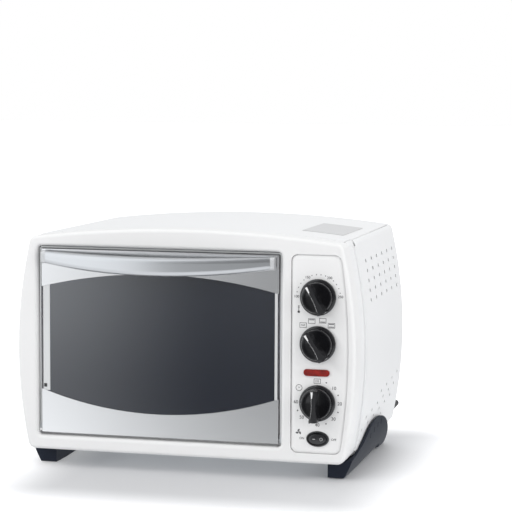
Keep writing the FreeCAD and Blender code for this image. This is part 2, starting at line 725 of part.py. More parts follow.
def leg(label, side):
    """Moulded leg: a flared flange outside the body, over a front and a rear foot."""
    body = new_body(label)
    pad = cells["PadDepth"]
    rise = base_z + cells["LegRise"]
    top = rise + spare
    beyond = leg_outer + spare

    def profile(sketch):
        arch, peak = cells["LegArchRise"], body_back - cells["LegArchPeak"]
        crest = body_back - cells["LegCrest"]
        shoulder = front + cells["LegShoulder"]
        draw(sketch, (leg_front, pad), (leg_front_foot, pad),
             (peak, arch, mean(leg_front_foot, peak), arch / 2), (leg_rear_foot, pad),
             (leg_rear, pad), (crest, rise * 0.95, mean(leg_rear, crest), rise * 0.65),
             (shoulder, rise * 0.87, mean(crest, shoulder), rise),
             (leg_front, base_z - gap, mean(shoulder, leg_front), rise * 0.57),
             (leg_front, pad))

    def under_body(sketch):
        """Room for the body's own side, a little larger than the side panel."""
        p = shell_points(widest, -gap)
        foot, foot_round, hip = [(side * p[n][0], p[n][1]) for n in ("foot", "foot_round", "hip")]
        middle = mean(hip[1], top)
        draw(sketch, (side * (leg_inner - spare), foot[1]), foot, (*hip, *foot_round),
             (side * side_x(widest + gap, top), top, side * side_x(widest + gap, middle), middle),
             (side * (leg_inner - spare), top), (side * (leg_inner - spare), foot[1]))

    def outside(sketch):
        """What lies beyond the flared flange, seen from the front."""
        draw(sketch, (side * leg_foot, size(0)), (side * beyond, size(0)), (side * beyond, top),
             (side * leg_outer, top), (side * leg_outer, rise),
             (side * leg_foot, 0, side * (widest - cells["LegWaistInset"]),
              cells["LegWaistHeight"]))

    def behind(sketch):
        """What lies beyond the rounded rear end, seen from above."""
        start = leg_rear - cells["LegTailLong"]
        inward = cells["LegTailIn"]
        draw(sketch, (side * (leg_outer + gauge), start), (side * beyond, start),
             (side * beyond, leg_rear + gauge), (side * (leg_outer - inward), leg_rear + gauge),
             (side * (leg_outer + gauge), start, side * (leg_outer - inward * 0.24),
              leg_rear - cells["LegTailLong"] * 0.31))

    def slots(sketch):
        lean = cells["LegSlotLean"]
        tall, thin = cells["LegSlotLong"] / 2, cells["LegSlotWide"] / 2
        for n in range(SIZES["LegSlots"]):
            y = front + cells["LegSlotFirst"] + cells["LegSlotPitch"] * n
            z = cells["LegSlotHeight"] + cells["LegSlotClimb"] * n - cells["LegSlotBend"] * n * n
            draw(sketch, (y - thin + lean, z - tall), (y + thin + lean, z - tall),
                 (y + thin - lean, z + tall), (y - thin - lean, z + tall),
                 (y - thin + lean, z - tall))

    low, high = (leg_inner, leg_outer) if side > 0 else (-leg_outer, -leg_inner)
    slab(body, "YZ_Plane", low, high, (profile,))
    slab(body, "XZ_Plane", leg_front - spare, leg_rear + spare, (under_body,), cut=True)
    slab(body, "XZ_Plane", leg_front - spare, leg_rear + spare, (outside,), cut=True)
    slab(body, "XY_Plane", size(0), top, (behind,), cut=True)
    inner, outer = leg_outer - cells["LegSlotDeep"], leg_outer + gauge
    low, high = (inner, outer) if side > 0 else (-outer, -inner)
    slab(body, "YZ_Plane", low, high, (slots,), cut=True)


def pads_and_bumpers():
    """Rubber pads under the legs, and the studs that keep the oven off a wall."""
    x = mean(leg_inner, leg_foot)
    feet = (mean(leg_front, leg_front_foot), mean(leg_rear_foot, leg_rear))
    group("foot_pads", [cylinder("foot_pad", cells["PadRadius"], cells["PadDepth"],
                                 x * side, y, size(0)) for side in (-1, 1) for y in feet])
    bumpers = []
    for side in (-1, 1):
        cone = doc.addObject("Part::Cone", "rear_bumper")
        bind(cone, "Radius1", cells["BumperRadius"])
        bind(cone, "Radius2", cells["BumperRadius"] * cells["BumperTaper"])
        bind(cone, "Height", cells["BumperLength"])
        cone.Placement = Placement(Vector(), Rotation(Vector(1, 0, 0), -90))
        place(cone, (rear_half - cells["BumperInset"]) * side, body_back,
              base_z + cells["BumperRise"])
        bumpers.append(cone)
    group("rear_bumpers", bumpers)


def screw(x, y, z, shank_radius, shank, head_radius, head):
    """A screw along Y, its head behind the place y and its shank in front of it."""
    return fuse("screw", [cylinder("screw_shank", shank_radius, shank + head / 2, x, y - shank, z, "Y"),
                          cylinder("screw_head", head_radius, head, x, y, z, "Y")])


def body_screws():
    group("body_screws", [screw(x, body_back, z, cells["ScrewShank"], cells["ScrewLong"],
                                cells["ScrewRadius"], cells["ScrewHead"])
                          for x, z in rear_screw_places()])


# Places in the oven cavity
wall_left = opening_left + cells["CavityLeftInset"]
wall_right = opening_right - cells["CavityRightInset"]
cavity_floor = base_z + cells["CavityStand"]
cavity_top = opening_top - cells["CavityDrop"]
cavity_front = front + cells["CavityFront"]
cavity_back = body_back - cells["CavityBackInset"]
runner_z = cavity_floor + cells["RunnerRise"]
fan_y = mean(cavity_front, cavity_back) + cells["FanSetBack"]
fan_z = mean(cavity_floor, cavity_top) + cells["FanRise"]
shield_x = wall_right + gauge + cells["ShieldStand"]
heater_rows = [front + cells["HeaterFront"] + cells["HeaterPitch"] * n for n in range(2)]
heater_levels = (cavity_top - cells["HeaterDrop"], cavity_floor + cells["HeaterStand"])

# Places round the cavity
crumb_z = base_z + cells["CrumbStand"]
crumb_left = wall_left + cells["CrumbInset"]
crumb_right = wall_right - cells["CrumbInset"]
gland_x = rear_half - cells["GlandInset"]
gland_z = base_z + cells["GlandRise"]


def cavity_liner():
    """Steel box of the oven cavity, open to the front."""
    body = new_body("cavity_liner")
    slab(body, "XZ_Plane", cavity_front, cavity_back + gauge,
         (box, wall_left - gauge, cavity_floor - gauge, wall_right + gauge, cavity_top + gauge))
    slab(body, "XZ_Plane", cavity_front, cavity_back,
         (box, wall_left, cavity_floor, wall_right, cavity_top), cut=True)
    slab(body, "YZ_Plane", wall_left - gauge, wall_right + gauge,
         *[(ring, y, z, cells["HeaterRadius"] + gap) for y in heater_rows
           for z in heater_levels], cut=True)
    slab(body, "YZ_Plane", wall_right, wall_right + gauge,
         (ring, fan_y, fan_z, cells["GuardRadius"] - cells["GuardSeat"]), cut=True)
    drops = slab(body, "XY_Plane", cavity_floor - gauge, cavity_floor,
                 *[(lozenge, wall_left + cells["DropInset"], cavity_front + cells["DropInset"]
                    + cells["DropPitch"] * n, cells["DropLong"], cells["DropWide"])
                   for n in range(SIZES["DropRows"])], cut=True)
    repeat(body, drops, "H_Axis", wall_right - wall_left - cells["DropInset"] * 2,
           cells["DropColumns"])


def front_flange():
    """Flat frame that joins the cavity's mouth to the bezel's lip."""
    body = new_body("front_flange")
    slab(body, "XZ_Plane", cavity_front - cells["FlangeGauge"], cavity_front,
         (rounded, opening_left, opening_low, opening_right, opening_top,
          cells["OpeningRound"]),
         (box, wall_left, cavity_floor, wall_right, cavity_top))


def cavity_fittings():
    """Shelf runners, the rails that carry cavity and crumb tray, and the spacers behind."""
    wide = cells["RunnerWide"]
    ends = cavity_front + cells["RunnerSetBack"], cavity_back - cells["RunnerSetBack"]
    bars = []
    for level in range(SIZES["RunnerLevels"]):
        z = runner_z + cells["RunnerGap"] * level
        for low, high in ((wall_left, wall_left + wide), (wall_right - wide, wall_right)):
            bars.append(brick("runner", low, ends[0], z, high, ends[1], z + cells["RunnerThick"]))
    group("shelf_runners", bars)
    sheet_gauge = cells["RailGauge"]
    rail_front = bezel_back + cells["RunnerSetBack"]
    ledge_top = crumb_z - cells["SlideGap"]
    rails = []
    for edge, side in ((crumb_left, -1), (crumb_right, 1)):
        outer = edge + cells["RailStand"] * side
        inner = edge - cells["RailLedge"] * side
        post = sorted((outer, outer + sheet_gauge * side), key=float)
        ledge = sorted((outer, inner), key=float)
        rails.append(fuse("tray_rail", [
            brick("rail_post", post[0], rail_front, base_z + gauge, post[1], ends[1],
                  cavity_floor - gauge),
            brick("rail_ledge", ledge[0], rail_front, ledge_top - sheet_gauge, ledge[1], ends[1],
                  ledge_top)]))
    behind = cavity_back + gauge
    room = body_back - cells["BackGauge"] - behind
    inset = cells["SpacerInset"]
    spacers = [cylinder("rear_spacer", cells["SpacerRadius"], room, x, behind, z, "Y")
               for x in (wall_left + inset, wall_right - inset)
               for z in (cavity_floor + inset, cavity_top - inset)]
    group("cavity_stays", rails + spacers)


def heaters():
    """Two rods under the cavity's roof and two over its floor, in ceramic end bushes."""
    bush = cells["InsulatorLong"]
    left, right = wall_left - gauge, wall_right + gauge
    stub = bush + cells["HeaterStub"]
    rods = []
    bushes = []
    for z in heater_levels:
        for y in heater_rows:
            rods.append(cylinder("heater", cells["HeaterRadius"], right - left + stub * 2,
                                 left - stub, y, z, "X"))
            for x in (left - bush, right):
                bushes.append(cut_away("insulator",
                                       cylinder("bush", cells["InsulatorRadius"], bush, x, y, z, "X"),
                                       cylinder("bush_bore", cells["HeaterRadius"], bush, x, y, z, "X")))
    group("heating_rods", rods)
    group("heater_insulators", bushes)


def paddle_wheel(label, x, radius, deep, hub):
    """A disc with straight paddles, pressed on the fan's shaft."""
    body = new_body(label)
    thin = cells["BladeThick"]
    bore = cells["ShaftRadius"]
    turned(body, "XY_Plane", (0, bore), (0, hub), (deep - thin, hub), (deep - thin, radius),
           (deep, radius), (deep, bore), (0, bore))
    paddle = slab(body, "YZ_Plane", size(0), deep - thin / 2,
                  (box, hub - thin, -thin / 2, radius - thin, thin / 2))
    spread(body, paddle, "N_Axis", cells["FanBlades"])
    place(body, x, fan_y, fan_z)


def fan():
    """Convection fan behind the cavity's right wall, its motor and its cooling wheel."""
    wall = wall_right + gauge
    guard = new_body("fan_guard")
    slab(guard, "YZ_Plane", wall_right - cells["GuardThick"], wall_right,
         (ring, fan_y, fan_z, cells["GuardRadius"]))
    hole = cells["GuardHole"]
    pitch = cells["GuardPitch"]
    rows = SIZES["GuardRows"]
    for line in range(-(rows // 2), rows // 2 + 1):
        count = rows - abs(line) % 2
        span = pitch * (count - 1)
        row = slab(guard, "YZ_Plane", wall_right - cells["GuardThick"], wall_right,
                   (ring, fan_y - span / 2, fan_z + pitch * line, hole), cut=True)
        repeat(guard, row, "H_Axis", span, size(count))
    housing = new_body("fan_housing")
    rim = cells["FanRadius"] + cells["FanRoom"]
    deep = cells["HousingDeep"]
    bore = cells["ShaftRadius"] + cells["ShaftRoom"]
    turned(housing, "XY_Plane", (0, rim - gauge), (0, rim + cells["HousingLip"]),
           (gauge, rim + cells["HousingLip"]), (gauge, rim), (deep, rim), (deep, bore),
           (deep - gauge, bore), (deep - gauge, rim - gauge), (0, rim - gauge))
    place(housing, wall, fan_y, fan_z)
    shield = fuse("shield_sheet", [
        brick("shield_wall", shield_x, front + cells["ShieldFront"], base_z + gauge,
              shield_x + gauge, cavity_back, cavity_top + cells["ShieldRise"]),
        brick("shield_foot", shield_x, front + cells["ShieldFront"], base_z + gauge,
              shield_x + cells["ShieldFoot"], cavity_back, base_z + gauge * 2)])
    keep(cut_away("heat_shield", shield,
                  cylinder("shield_hole", bore, gauge * 3, shield_x - gauge, fan_y, fan_z, "X")),
         "heat_shield")
    bracket_x = shield_x + gauge + cells["BracketStand"]
    half = cells["BracketWide"] / 2
    thick = cells["BracketThick"]
    feet = [brick("bracket_foot", shield_x + gauge, fan_y + y, fan_z - half,
                  bracket_x + thick, fan_y + y + thick, fan_z + half) for y in (-half, half - thick)]
    plate = fuse("bracket_sheet", [brick("bracket_plate", bracket_x, fan_y - half, fan_z - half,
                                         bracket_x + thick, fan_y + half, fan_z + half), *feet])
    keep(cut_away("motor_bracket", plate,
                  cylinder("bracket_hole", bore, thick * 3, bracket_x - thick, fan_y, fan_z, "X")),
         "motor_bracket")
    motor_x = bracket_x + thick
    keep(cut_away("fan_motor",
                  cylinder("motor_can", cells["MotorRadius"], cells["MotorLong"],
                           motor_x, fan_y, fan_z, "X"),
                  cylinder("motor_bore", cells["ShaftRadius"] + cells["RunningGap"],
                           cells["MotorLong"], motor_x, fan_y, fan_z, "X")), "fan_motor")
    wheel_x = wall + cells["WheelRoom"]
    cooler_x = motor_x + cells["MotorLong"] + cells["WheelRoom"]
    paddle_wheel("fan_blade", wheel_x, cells["FanRadius"], cells["BladeDeep"], cells["FanHub"])
    paddle_wheel("cooling_impeller", cooler_x, cells["ImpellerRadius"], cells["ImpellerLong"],
                 cells["FanHub"])
    end = cooler_x + cells["ImpellerLong"] + cells["ShaftEnd"]
    keep(cylinder("fan_shaft", cells["ShaftRadius"], end - wheel_x + cells["ShaftEnd"],
                  wheel_x - cells["ShaftEnd"], fan_y, fan_z, "X"), "fan_shaft")


def crumb_tray():
    """Shallow tray under the cavity that slides out through the back plate."""
    x0, x1, z = crumb_left, crumb_right, crumb_z
    y0 = front + cells["CrumbFront"]
    y1 = body_back + gauge
    top = z + cells["CrumbDeep"]
    pan = cut_away("crumb_pan", brick("crumb_block", x0, y0, z, x1, y1, top),
                   brick("crumb_room", x0 + gauge, y0 + gauge, z + gauge, x1 - gauge, y1 - gauge,
                         top + gauge))
    middle = mean(x0, x1)
    half = cells["CrumbGrip"] / 2
    grip = brick("crumb_grip", middle - half, y1 - gauge / 2, top - gauge * 1.5, middle + half,
                 y1 + cells["CrumbLip"], top)
    keep(fuse("crumb_tray", [pan, grip]), "crumb_tray")


# Places on the door
door_left = opening_left + cells["DoorGap"]
door_right = opening_right - cells["DoorGap"]
door_low = opening_low + cells["DoorSill"]
door_top = opening_top - cells["DoorGap"]
door_middle = mean(door_left, door_right)
fold = cells["PanelGauge"]
glass_back = front + fold + cells["GlassThick"]
hinge_y = front + cells["HingeDepth"]
hinge_z = door_low + cells["HingeRise"]
handle_top = door_top - cells["HandleInset"]
handle_screws_x = (door_left + cells["StandoffInset"], door_right - cells["StandoffInset"])
handle_screws_z = handle_top - cells["HandleEndDrop"] / 2


def door_panel(label, edge, arc_end, arc_mid):
    """Sheet at the top or the bottom of the door: a curved edge over the glass, three folds."""
    body = new_body(label)

    def outline(sketch):
        draw(sketch, (door_left, edge), (door_right, edge), (door_right, arc_end),
             (door_left, arc_end, door_middle, arc_mid), (door_left, edge))

    upper = float(edge) > float(arc_end)
    lap = cells["SheetLap"]
    low, high = (arc_end - lap, edge - fold) if upper else (edge + fold, arc_end + lap)
    deep = front + cells["FoldDeep"]
    slab(body, "XZ_Plane", front, deep, (outline,))
    slab(body, "XZ_Plane", front + fold, deep,
         (box, door_left + fold, low, door_right - fold, high), cut=True)
    if upper:
        slab(body, "XZ_Plane", front, front + fold,
             *[(ring, x, handle_screws_z, cells["HandleScrew"]) for x in handle_screws_x], cut=True)
    else:
        slab(body, "YZ_Plane", door_left, door_right,
             (ring, hinge_y, hinge_z, cells["PinRadius"]), cut=True)


def door_glass():
    """Clear outer pane and smoked inner pane."""
    body = new_body("door_glass")
    edge = fold + gap
    slab(body, "XZ_Plane", front + fold, glass_back,
         (box, door_left + edge, door_low + edge, door_right - edge, door_top - edge))
    slab(body, "XZ_Plane", front + fold, glass_back,
         *[(ring, x, handle_screws_z, cells["HandleScrew"]) for x in handle_screws_x], cut=True)
    tint = new_body("inner_glass")
    slab(tint, "XZ_Plane", glass_back, glass_back + cells["InnerGlassThick"],
         (box, door_left + cells["TintLeftInset"], door_low + cells["TintInsetLow"],
          door_right - cells["TintRightInset"], door_top - cells["TintInsetTop"]))


def door_handle():
    """Crescent bar that bows forwards and down, between two end caps on standoffs."""
    body = new_body("door_handle")
    cap, set_in = cells["HandleCap"], cells["HandleSetIn"]
    x0, x1 = door_left + set_in + cap, door_right - set_in - cap
    top, low = handle_top, handle_top - cells["HandleEndDrop"]
    end_y, mid_y = front - cells["HandleEndOut"], front - cells["HandleMidOut"]
    end_back, mid_back = end_y + cells["HandleEndThick"], mid_y + cells["HandleMidThick"]
    clear = cells["HandleSpare"]

    def crescent(sketch):
        draw(sketch, (x0, top), (x0, low), (x1, low, door_middle, top - cells["HandleMidDrop"]),
             (x1, top), (x0, top, door_middle, top - cells["HandleTopSag"]))

    def scoop(sketch, end, middle, beyond):
        draw(sketch, (x0 - clear, beyond), (x0 - clear, end),
             (x1 + clear, end, door_middle, middle), (x1 + clear, beyond), (x0 - clear, beyond))

    slab(body, "XZ_Plane", mid_y - clear, end_back + clear, (crescent,))
    under = top - cells["HandleMidDrop"] - clear
    slab(body, "XY_Plane", under, top + clear, (scoop, end_y, mid_y, mid_y - clear * 2), cut=True)
    slab(body, "XY_Plane", under, top + clear, (scoop, end_back, mid_back, front + clear), cut=True)
    long, forward, rearward = float(x1 - x0) / 2, float(mid_y), float(mid_back)
    soften(body, cells["HandleRound"], lambda e: e.BoundBox.XLength > long
           and abs(e.BoundBox.YMin - forward) < 1)
    soften(body, cells["HandleRearRound"], lambda e: e.BoundBox.XLength > long
           and abs(e.BoundBox.YMin - rearward) < 1)
    caps = []
    for x in (x0 - cap, x1):
        piece = doc.addObject("PartDesign::Body", "handle_cap")
        slab(piece, "YZ_Plane", x, x + cap,
             (rounded, end_y, low, end_back, top, cells["HandleCapRound"]))
        caps.append(piece)
    group("handle_end_caps", caps)
    radius = cells["StandoffRadius"]
    shank = cells["HandleScrew"]
    bite = end_y + cells["StandoffBite"]
    posts = []
    screws = []
    for x in handle_screws_x:
        post = cut_away("standoff_post", cylinder("post", radius, front - bite, x, bite,
                                                  handle_screws_z, "Y"), body)
        long = cells["HandleScrewLong"]
        posts.append(cut_away("standoff", post,
                              cylinder("post_bore", shank, long, x, glass_back - long,
                                       handle_screws_z, "Y")))
        screws.append(screw(x, glass_back, handle_screws_z, shank, long,
                            cells["HandleScrewHead"], cells["ScrewHead"]))
    group("handle_standoffs", posts)
    group("handle_screws", screws)


def hinges():
    """A bored plate each side of the door's foot, and the pin that runs in it."""
    thick = cells["HingePlate"]
    plates = []
    pins = []
    sides = ((opening_left + gap, door_left + fold, 1),
             (opening_right - gap, door_right - fold, -1))
    for outer, inner, way in sides:
        low, high = sorted((outer, outer + thick * way), key=float)
        plate = doc.addObject("PartDesign::Body", "hinge_plate")
        slab(plate, "YZ_Plane", low, high,
             (box, front + cells["HingePlateFront"], hinge_z - cells["HingePlateLow"],
              cavity_front - cells["FlangeGauge"], hinge_z + cells["HingePlateHigh"]),
             (ring, hinge_y, hinge_z, cells["PinRadius"] + cells["RunningGap"]))
        plates.append(plate)
        start, end = sorted((outer, inner), key=float)
        pins.append(cylinder("hinge_pin", cells["PinRadius"], end - start, start, hinge_y,
                             hinge_z, "X"))
    group("hinge_brackets", plates)
    group("hinge_pins", pins)


# Places on the wire rack
rack_left = wall_left + cells["RackInset"]
rack_right = wall_right - cells["RackInset"]
rack_front = cavity_front + cells["RackFrontInset"]
rack_back = cavity_back - cells["RackBackInset"]
rack_z = runner_z + cells["RunnerThick"] + cells["SlideGap"] + cells["RackFrame"]


def wire_rack():
    """Wire shelf: a thick frame, bars from front to back and cross wires under them."""
    thick, thin = cells["RackFrame"], cells["RackWire"]
    x0, x1 = rack_left + thick, rack_right - thick
    y0, y1 = rack_front + thick, rack_back - thick
    wires = [cylinder("frame_wire", thick, x1 - x0, x0, y, rack_z, "X") for y in (y0, y1)]
    wires += [cylinder("frame_wire", thick, y1 - y0, x, y0, rack_z, "Y") for x in (x0, x1)]
    for x in (x0, x1):
        for y in (y0, y1):
            ball = doc.addObject("Part::Sphere", "frame_corner")
            bind(ball, "Radius", thick)
            place(ball, x, y, rack_z)
            wires.append(ball)
    bars = SIZES["RackBars"]
    for n in range(1, bars + 1):
        x = x0 + (x1 - x0) * n / (bars + 1)
        wires.append(cylinder("bar", thin, y1 - y0, x, y0, rack_z + thin, "Y"))
    crosses = SIZES["RackCross"]
    for n in range(1, crosses + 1):
        y = y0 + (y1 - y0) * n / (crosses + 1)
        wires.append(cylinder("cross_wire", thin, x1 - x0, x0, y, rack_z - thick + thin, "X"))
    keep(fuse("wire_rack", wires), "wire_rack")


def baking_tray():
    """Black enamelled tray with a rolled rim and pressed ribs, standing on the rack."""
    body = new_body("baking_tray")
    inset = cells["TrayInset"]
    x0, x1 = rack_left + inset, rack_right - inset
    y0, y1 = rack_front + inset, rack_back - inset
    rim, wall, r = cells["TrayRim"], cells["TrayWall"], cells["TrayRound"]
    low = rack_z + cells["RackWire"] * 2
    top = low + cells["TrayDeep"]
    slab(body, "XY_Plane", top - wall, top, (rounded, x0, y0, x1, y1, r + rim))
    slab(body, "XY_Plane", low, top - wall,
         (rounded, x0 + rim, y0 + rim, x1 - rim, y1 - rim, r))
    edge = rim + wall
    slab(body, "XY_Plane", low + wall, top, (rounded, x0 + edge, y0 + edge, x1 - edge, y1 - edge,
                                             r - wall), cut=True)
    reach = cells["TrayRibInset"]
    rib = slab(body, "XY_Plane", low + wall / 2, low + wall + cells["TrayRibHigh"],
               (lozenge, mean(x0, x1), y0 + reach, x1 - x0 - reach * 2, cells["TrayRibWide"]))
    repeat(body, rib, "V_Axis", y1 - y0 - reach * 2, cells["TrayRibs"])


def turn_with_knob(piece, height, angle):
    """Put a piece drawn about its own Y axis on a knob's axis, turned to the knob's pointer."""
    swing = 90 - cells[angle]
    piece.Placement = Placement(Vector(), Rotation(Vector(0, 1, 0), float(swing)))
    place(piece, knob_x, panel_face, height)
    bind(piece, "Placement.Rotation.Angle", swing)


def knob(label, height, angle):
    """Dial knob: a thin skirt, a drum, a raised grip and the marker laid into it."""
    body = new_body(label + "_knob")
    back = -cells["KnobGap"]
    skirt = back - cells["KnobSkirt"]
    face = back - cells["KnobFace"]
    tip = back - cells["KnobTall"]
    rim, drum, bevel = cells["KnobRadius"], cells["KnobCap"], cells["KnobBevel"]
    turned(body, "YZ_Plane", (back, 0), (back, rim), (skirt + bevel, rim), (skirt, rim - bevel),
           (skirt, drum), (face + bevel, drum), (face, drum - bevel), (face, 0), (back, 0))
    reach = drum - bevel
    point, tail, waist = cells["GripTip"], cells["GripTail"], cells["GripWaist"]
    point_z = root(reach * reach - point * point)
    tail_z = root(reach * reach - tail * tail)

    def grip(sketch):
        draw(sketch, (-tail, -tail_z), (tail, -tail_z, 0, -reach), (point, point_z, waist, 0),
             (-point, point_z, 0, reach), (-tail, -tail_z, -waist, 0))

    slab(body, "XZ_Plane", tip, face + bevel, (grip,))
    edge = float(tip)
    soften(body, bevel, lambda e: abs(e.BoundBox.YMax - edge) < 1e-4)
    slab(body, "XZ_Plane", back - cells["KnobBore"], back, (ring, 0, 0, cells["KnobShaft"]),
         cut=True)
    wide, deep = cells["MarkerWide"] / 2, cells["MarkerDeep"]
    end = reach - cells["MarkerInset"]
    strip = (box, -wide, end - cells["MarkerLong"], wide, end)
    slab(body, "XZ_Plane", tip - gauge, tip + deep, strip, cut=True)
    turn_with_knob(body, height, angle)
    marker = new_body(label + "_marker")
    slab(marker, "XZ_Plane", tip - deep / 2, tip + deep, strip)
    turn_with_knob(marker, height, angle)
    start = panel_face + back - cells["KnobBore"]
    keep(cylinder(label + "_shaft", cells["KnobShaft"], panel_back + cells["ShaftSeat"] - start,
                  knob_x, start, height, "Y"), label + "_shaft")


def bored(label, block, height):
    """A control behind the panel, with the running bore for its knob's shaft."""
    bore = cylinder(label + "_bore", cells["KnobShaft"] + cells["RunningGap"],
                    cells["ShaftSeat"] + gap, knob_x, panel_back, height, "Y")
    return cut_away(label, block, bore)


def controls():
    """Thermostat, selector switch and clockwork timer behind the panel."""
    def case(name, height, wide, tall, deep):
        return brick(name, knob_x - wide / 2, panel_back, height - tall / 2,
                     knob_x + wide / 2, panel_back + deep, height + tall / 2)

    keep(bored("thermostat", case("thermostat_case", temp_z, cells["ThermostatWide"],
                                  cells["ThermostatTall"], cells["ThermostatDeep"]), temp_z),
         "thermostat")
    selector = cylinder("selector_case", cells["SelectorRadius"], cells["SelectorDeep"], knob_x,
                        panel_back, mode_z, "Y")
    keep(bored("selector_switch", selector, mode_z), "selector_switch")
    clockwork = bored("timer_case", case("timer_block", timer_z, cells["TimerWide"],
                                         cells["TimerTall"], cells["TimerDeep"]), timer_z)
    bell = cylinder("timer_bell", cells["BellRadius"], cells["BellDeep"], knob_x,
                    panel_back + cells["TimerDeep"], timer_z, "Y")
    group("timer_body", [clockwork, bell])
    bulb_x = wall_right - cells["BulbStand"]
    bulb_z = cavity_top - cells["BulbDrop"]
    bulb_y = front + cells["BulbFront"]
    radius = cells["BulbRadius"]
    clips = [brick("bulb_clip", bulb_x, bulb_y + cells["BulbLong"] * share, bulb_z - radius / 2,
                   wall_right, bulb_y + cells["BulbLong"] * share + radius * 2,
                   bulb_z + radius / 2) for share in (0.2, 0.7)]
    keep(fuse("thermostat_bulb", [cylinder("bulb", radius, cells["BulbLong"], bulb_x, bulb_y,
                                           bulb_z, "Y"), *clips]), "thermostat_bulb")


def pilot_light():
    """Red lens through the panel, held by a flange behind it, and the bulb in its holder."""
    lens = new_body("pilot_lens")
    x, z = lamp_x, lamp_z
    long, high = cells["LampLong"], cells["LampHigh"]
    lip = cells["LampFlange"]
    slab(lens, "XZ_Plane", panel_face - cells["LampProud"], panel_back,
         (lozenge, x, z, long, high))
    slab(lens, "XZ_Plane", panel_back, panel_back + lip / 2,
         (lozenge, x, z, long + lip * 2, high + lip * 2))
    bulb = cells["LampBulb"]
    behind = panel_back + lip / 2
    holder = brick("lamp_holder", x - bulb * 2, behind, z - bulb, x + bulb * 2,
                   behind + cells["LampDeep"], z + bulb)
    glow = cylinder("lamp_bulb", bulb / 2, long / 2, x - long / 4, behind + bulb, z, "X")
    keep(fuse("pilot_lamp", [holder, glow]), "pilot_lamp")


def fan_switch():
    """Rocker switch: a rimmed case through the panel and the button on its two side stubs."""
    x, z = rocker_x, rocker_z
    long, high, rim = cells["RockerLong"], cells["RockerHigh"], cells["RockerRim"]
    face = panel_face
    pivot_y = face + cells["RockerPivot"]
    case = new_body("rocker_bezel")
    slab(case, "XZ_Plane", face - cells["RockerProud"], face, (lozenge, x, z, long, high))
    slab(case, "XZ_Plane", face - gap / 2, panel_back + cells["RockerDeep"],
         (lozenge, x, z, long - rim, high - rim))
    slab(case, "XZ_Plane", face - cells["RockerProud"], panel_back + cells["RockerDeep"] - rim,
         (lozenge, x, z, long - rim * 2, high - rim * 2), cut=True)
    pin = cells["RockerPin"]
    inner = high / 2 - rim
    slab(case, "XY_Plane", z - inner - rim / 2, z + inner + rim / 2,
         (ring, x, pivot_y, pin + cells["RunningGap"]), cut=True)
    room = cells["RockerRoom"]
    button = new_body("rocker_button")
    button_high = high - rim * 2 - room
    slab(button, "XZ_Plane", -cells["RockerRise"], cells["RockerSink"],
         (lozenge, 0, 0, long - rim * 2 - room * 2, button_high))
    stub = inner + rim / 3
    slab(button, "XY_Plane", -stub, stub, (ring, 0, 0, pin))
    button.Placement = Placement(Vector(), Rotation(Vector(0, 0, 1), float(cells["RockerTilt"])))
    place(button, x, pivot_y, z)
    bind(button, "Placement.Rotation.Angle", cells["RockerTilt"])


def mains_parts():
    """Cord gland through the back plate, terminal block and thermal fuse."""
    gland = new_body("cord_gland")
    bore, body_radius = cells["GlandBore"], cells["GlandRadius"]
    flange = body_radius + cells["GlandFlange"]
    plate = cells["BackGauge"]
    turned(gland, "YZ_Plane", (-plate * 3, bore), (-plate * 3, flange), (-plate, flange),
           (-plate, body_radius), (0, body_radius), (0, flange), (plate * 2, flange),
           (cells["GlandLong"], bore + plate), (cells["GlandLong"], bore), (-plate * 3, bore))
    place(gland, gland_x, body_back, gland_z)
    floor = base_z + gauge
    block_x = shield_x + cells["ShieldFoot"] + gap
    block_y = body_back - cells["BlockInset"]
    keep(brick("terminal_block", block_x, block_y, floor, block_x + cells["BlockLong"],
               block_y + cells["BlockDeep"], floor + cells["BlockHigh"]), "terminal_block")
    roof = cavity_top + gauge
    fuse_x, fuse_y = wall_right - cells["FuseInset"], fan_y
    radius, long = cells["FuseRadius"], cells["FuseLong"]
    clip = brick("fuse_clip", fuse_x - radius, fuse_y + long / 3, roof, fuse_x + radius,
                 fuse_y + long * 2 / 3, roof + radius)
    keep(fuse("thermal_fuse", [clip, cylinder("fuse_body", radius, long, fuse_x, fuse_y,
                                              roof + radius + gap, "Y")]), "thermal_fuse")


for make in (front_bezel, control_panel, top_cover, rear_panel, base_plate):
    make()
group("side_bands", [side_band(-1), side_band(1)])
for side_name, way in (("left", -1), ("right", 1)):
    side_panel("side_panel_" + side_name, way)
    leg("leg_" + side_name, way)
for make in (pads_and_bumpers, body_screws, cavity_liner, front_flange, cavity_fittings, heaters,
             fan, crumb_tray):
    make()
door_panel("door_top_panel", door_top, door_top - cells["UpperSheetEnd"],
           door_top - cells["UpperSheetMid"])
door_panel("door_bottom_panel", door_low, door_low + cells["LowerSheetEnd"],
           door_low + cells["LowerSheetMid"])
for make in (door_glass, door_handle, hinges, wire_rack, baking_tray):
    make()
knob("temp", temp_z, "TempAngle")
knob("mode", mode_z, "ModeAngle")
knob("timer", timer_z, "TimerAngle")
for make in (controls, pilot_light, fan_switch, mains_parts):
    make()

doc.recompute()
faults = []
for thing in doc.Objects:
    if "Invalid" in thing.State or "Error" in thing.State:
        faults.append("%s %s" % (thing.Name, thing.State))
for piece in made:
    if piece.Shape.isNull() or not piece.Shape.isValid():
        faults.append("bad shape: " + piece.Label)
if faults:
    raise RuntimeError("; ".join(faults))
os.makedirs("parts", exist_ok=True)
for piece in made:
    piece.Shape.exportStep("parts/%s.step" % piece.Label)
    print("%-20s %9.0f mm3 %d solids" % (piece.Label, piece.Shape.Volume, len(piece.Shape.Solids)))
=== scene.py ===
# %% [markdown]
# # A countertop convection oven in a white studio
#
# The oven's construction comes packed as a frame: every sheet, knob, hinge and shaft at its real
# size and place, in metres, with +X to the oven's right, +Y to its back and +Z up. Here it gets
# its looks: finishes for every surface, the prints on the control panel, finer knobs, and the
# light and the camera. Nothing from the frame is moved or resized.

# %% Load the frame
import json
import math

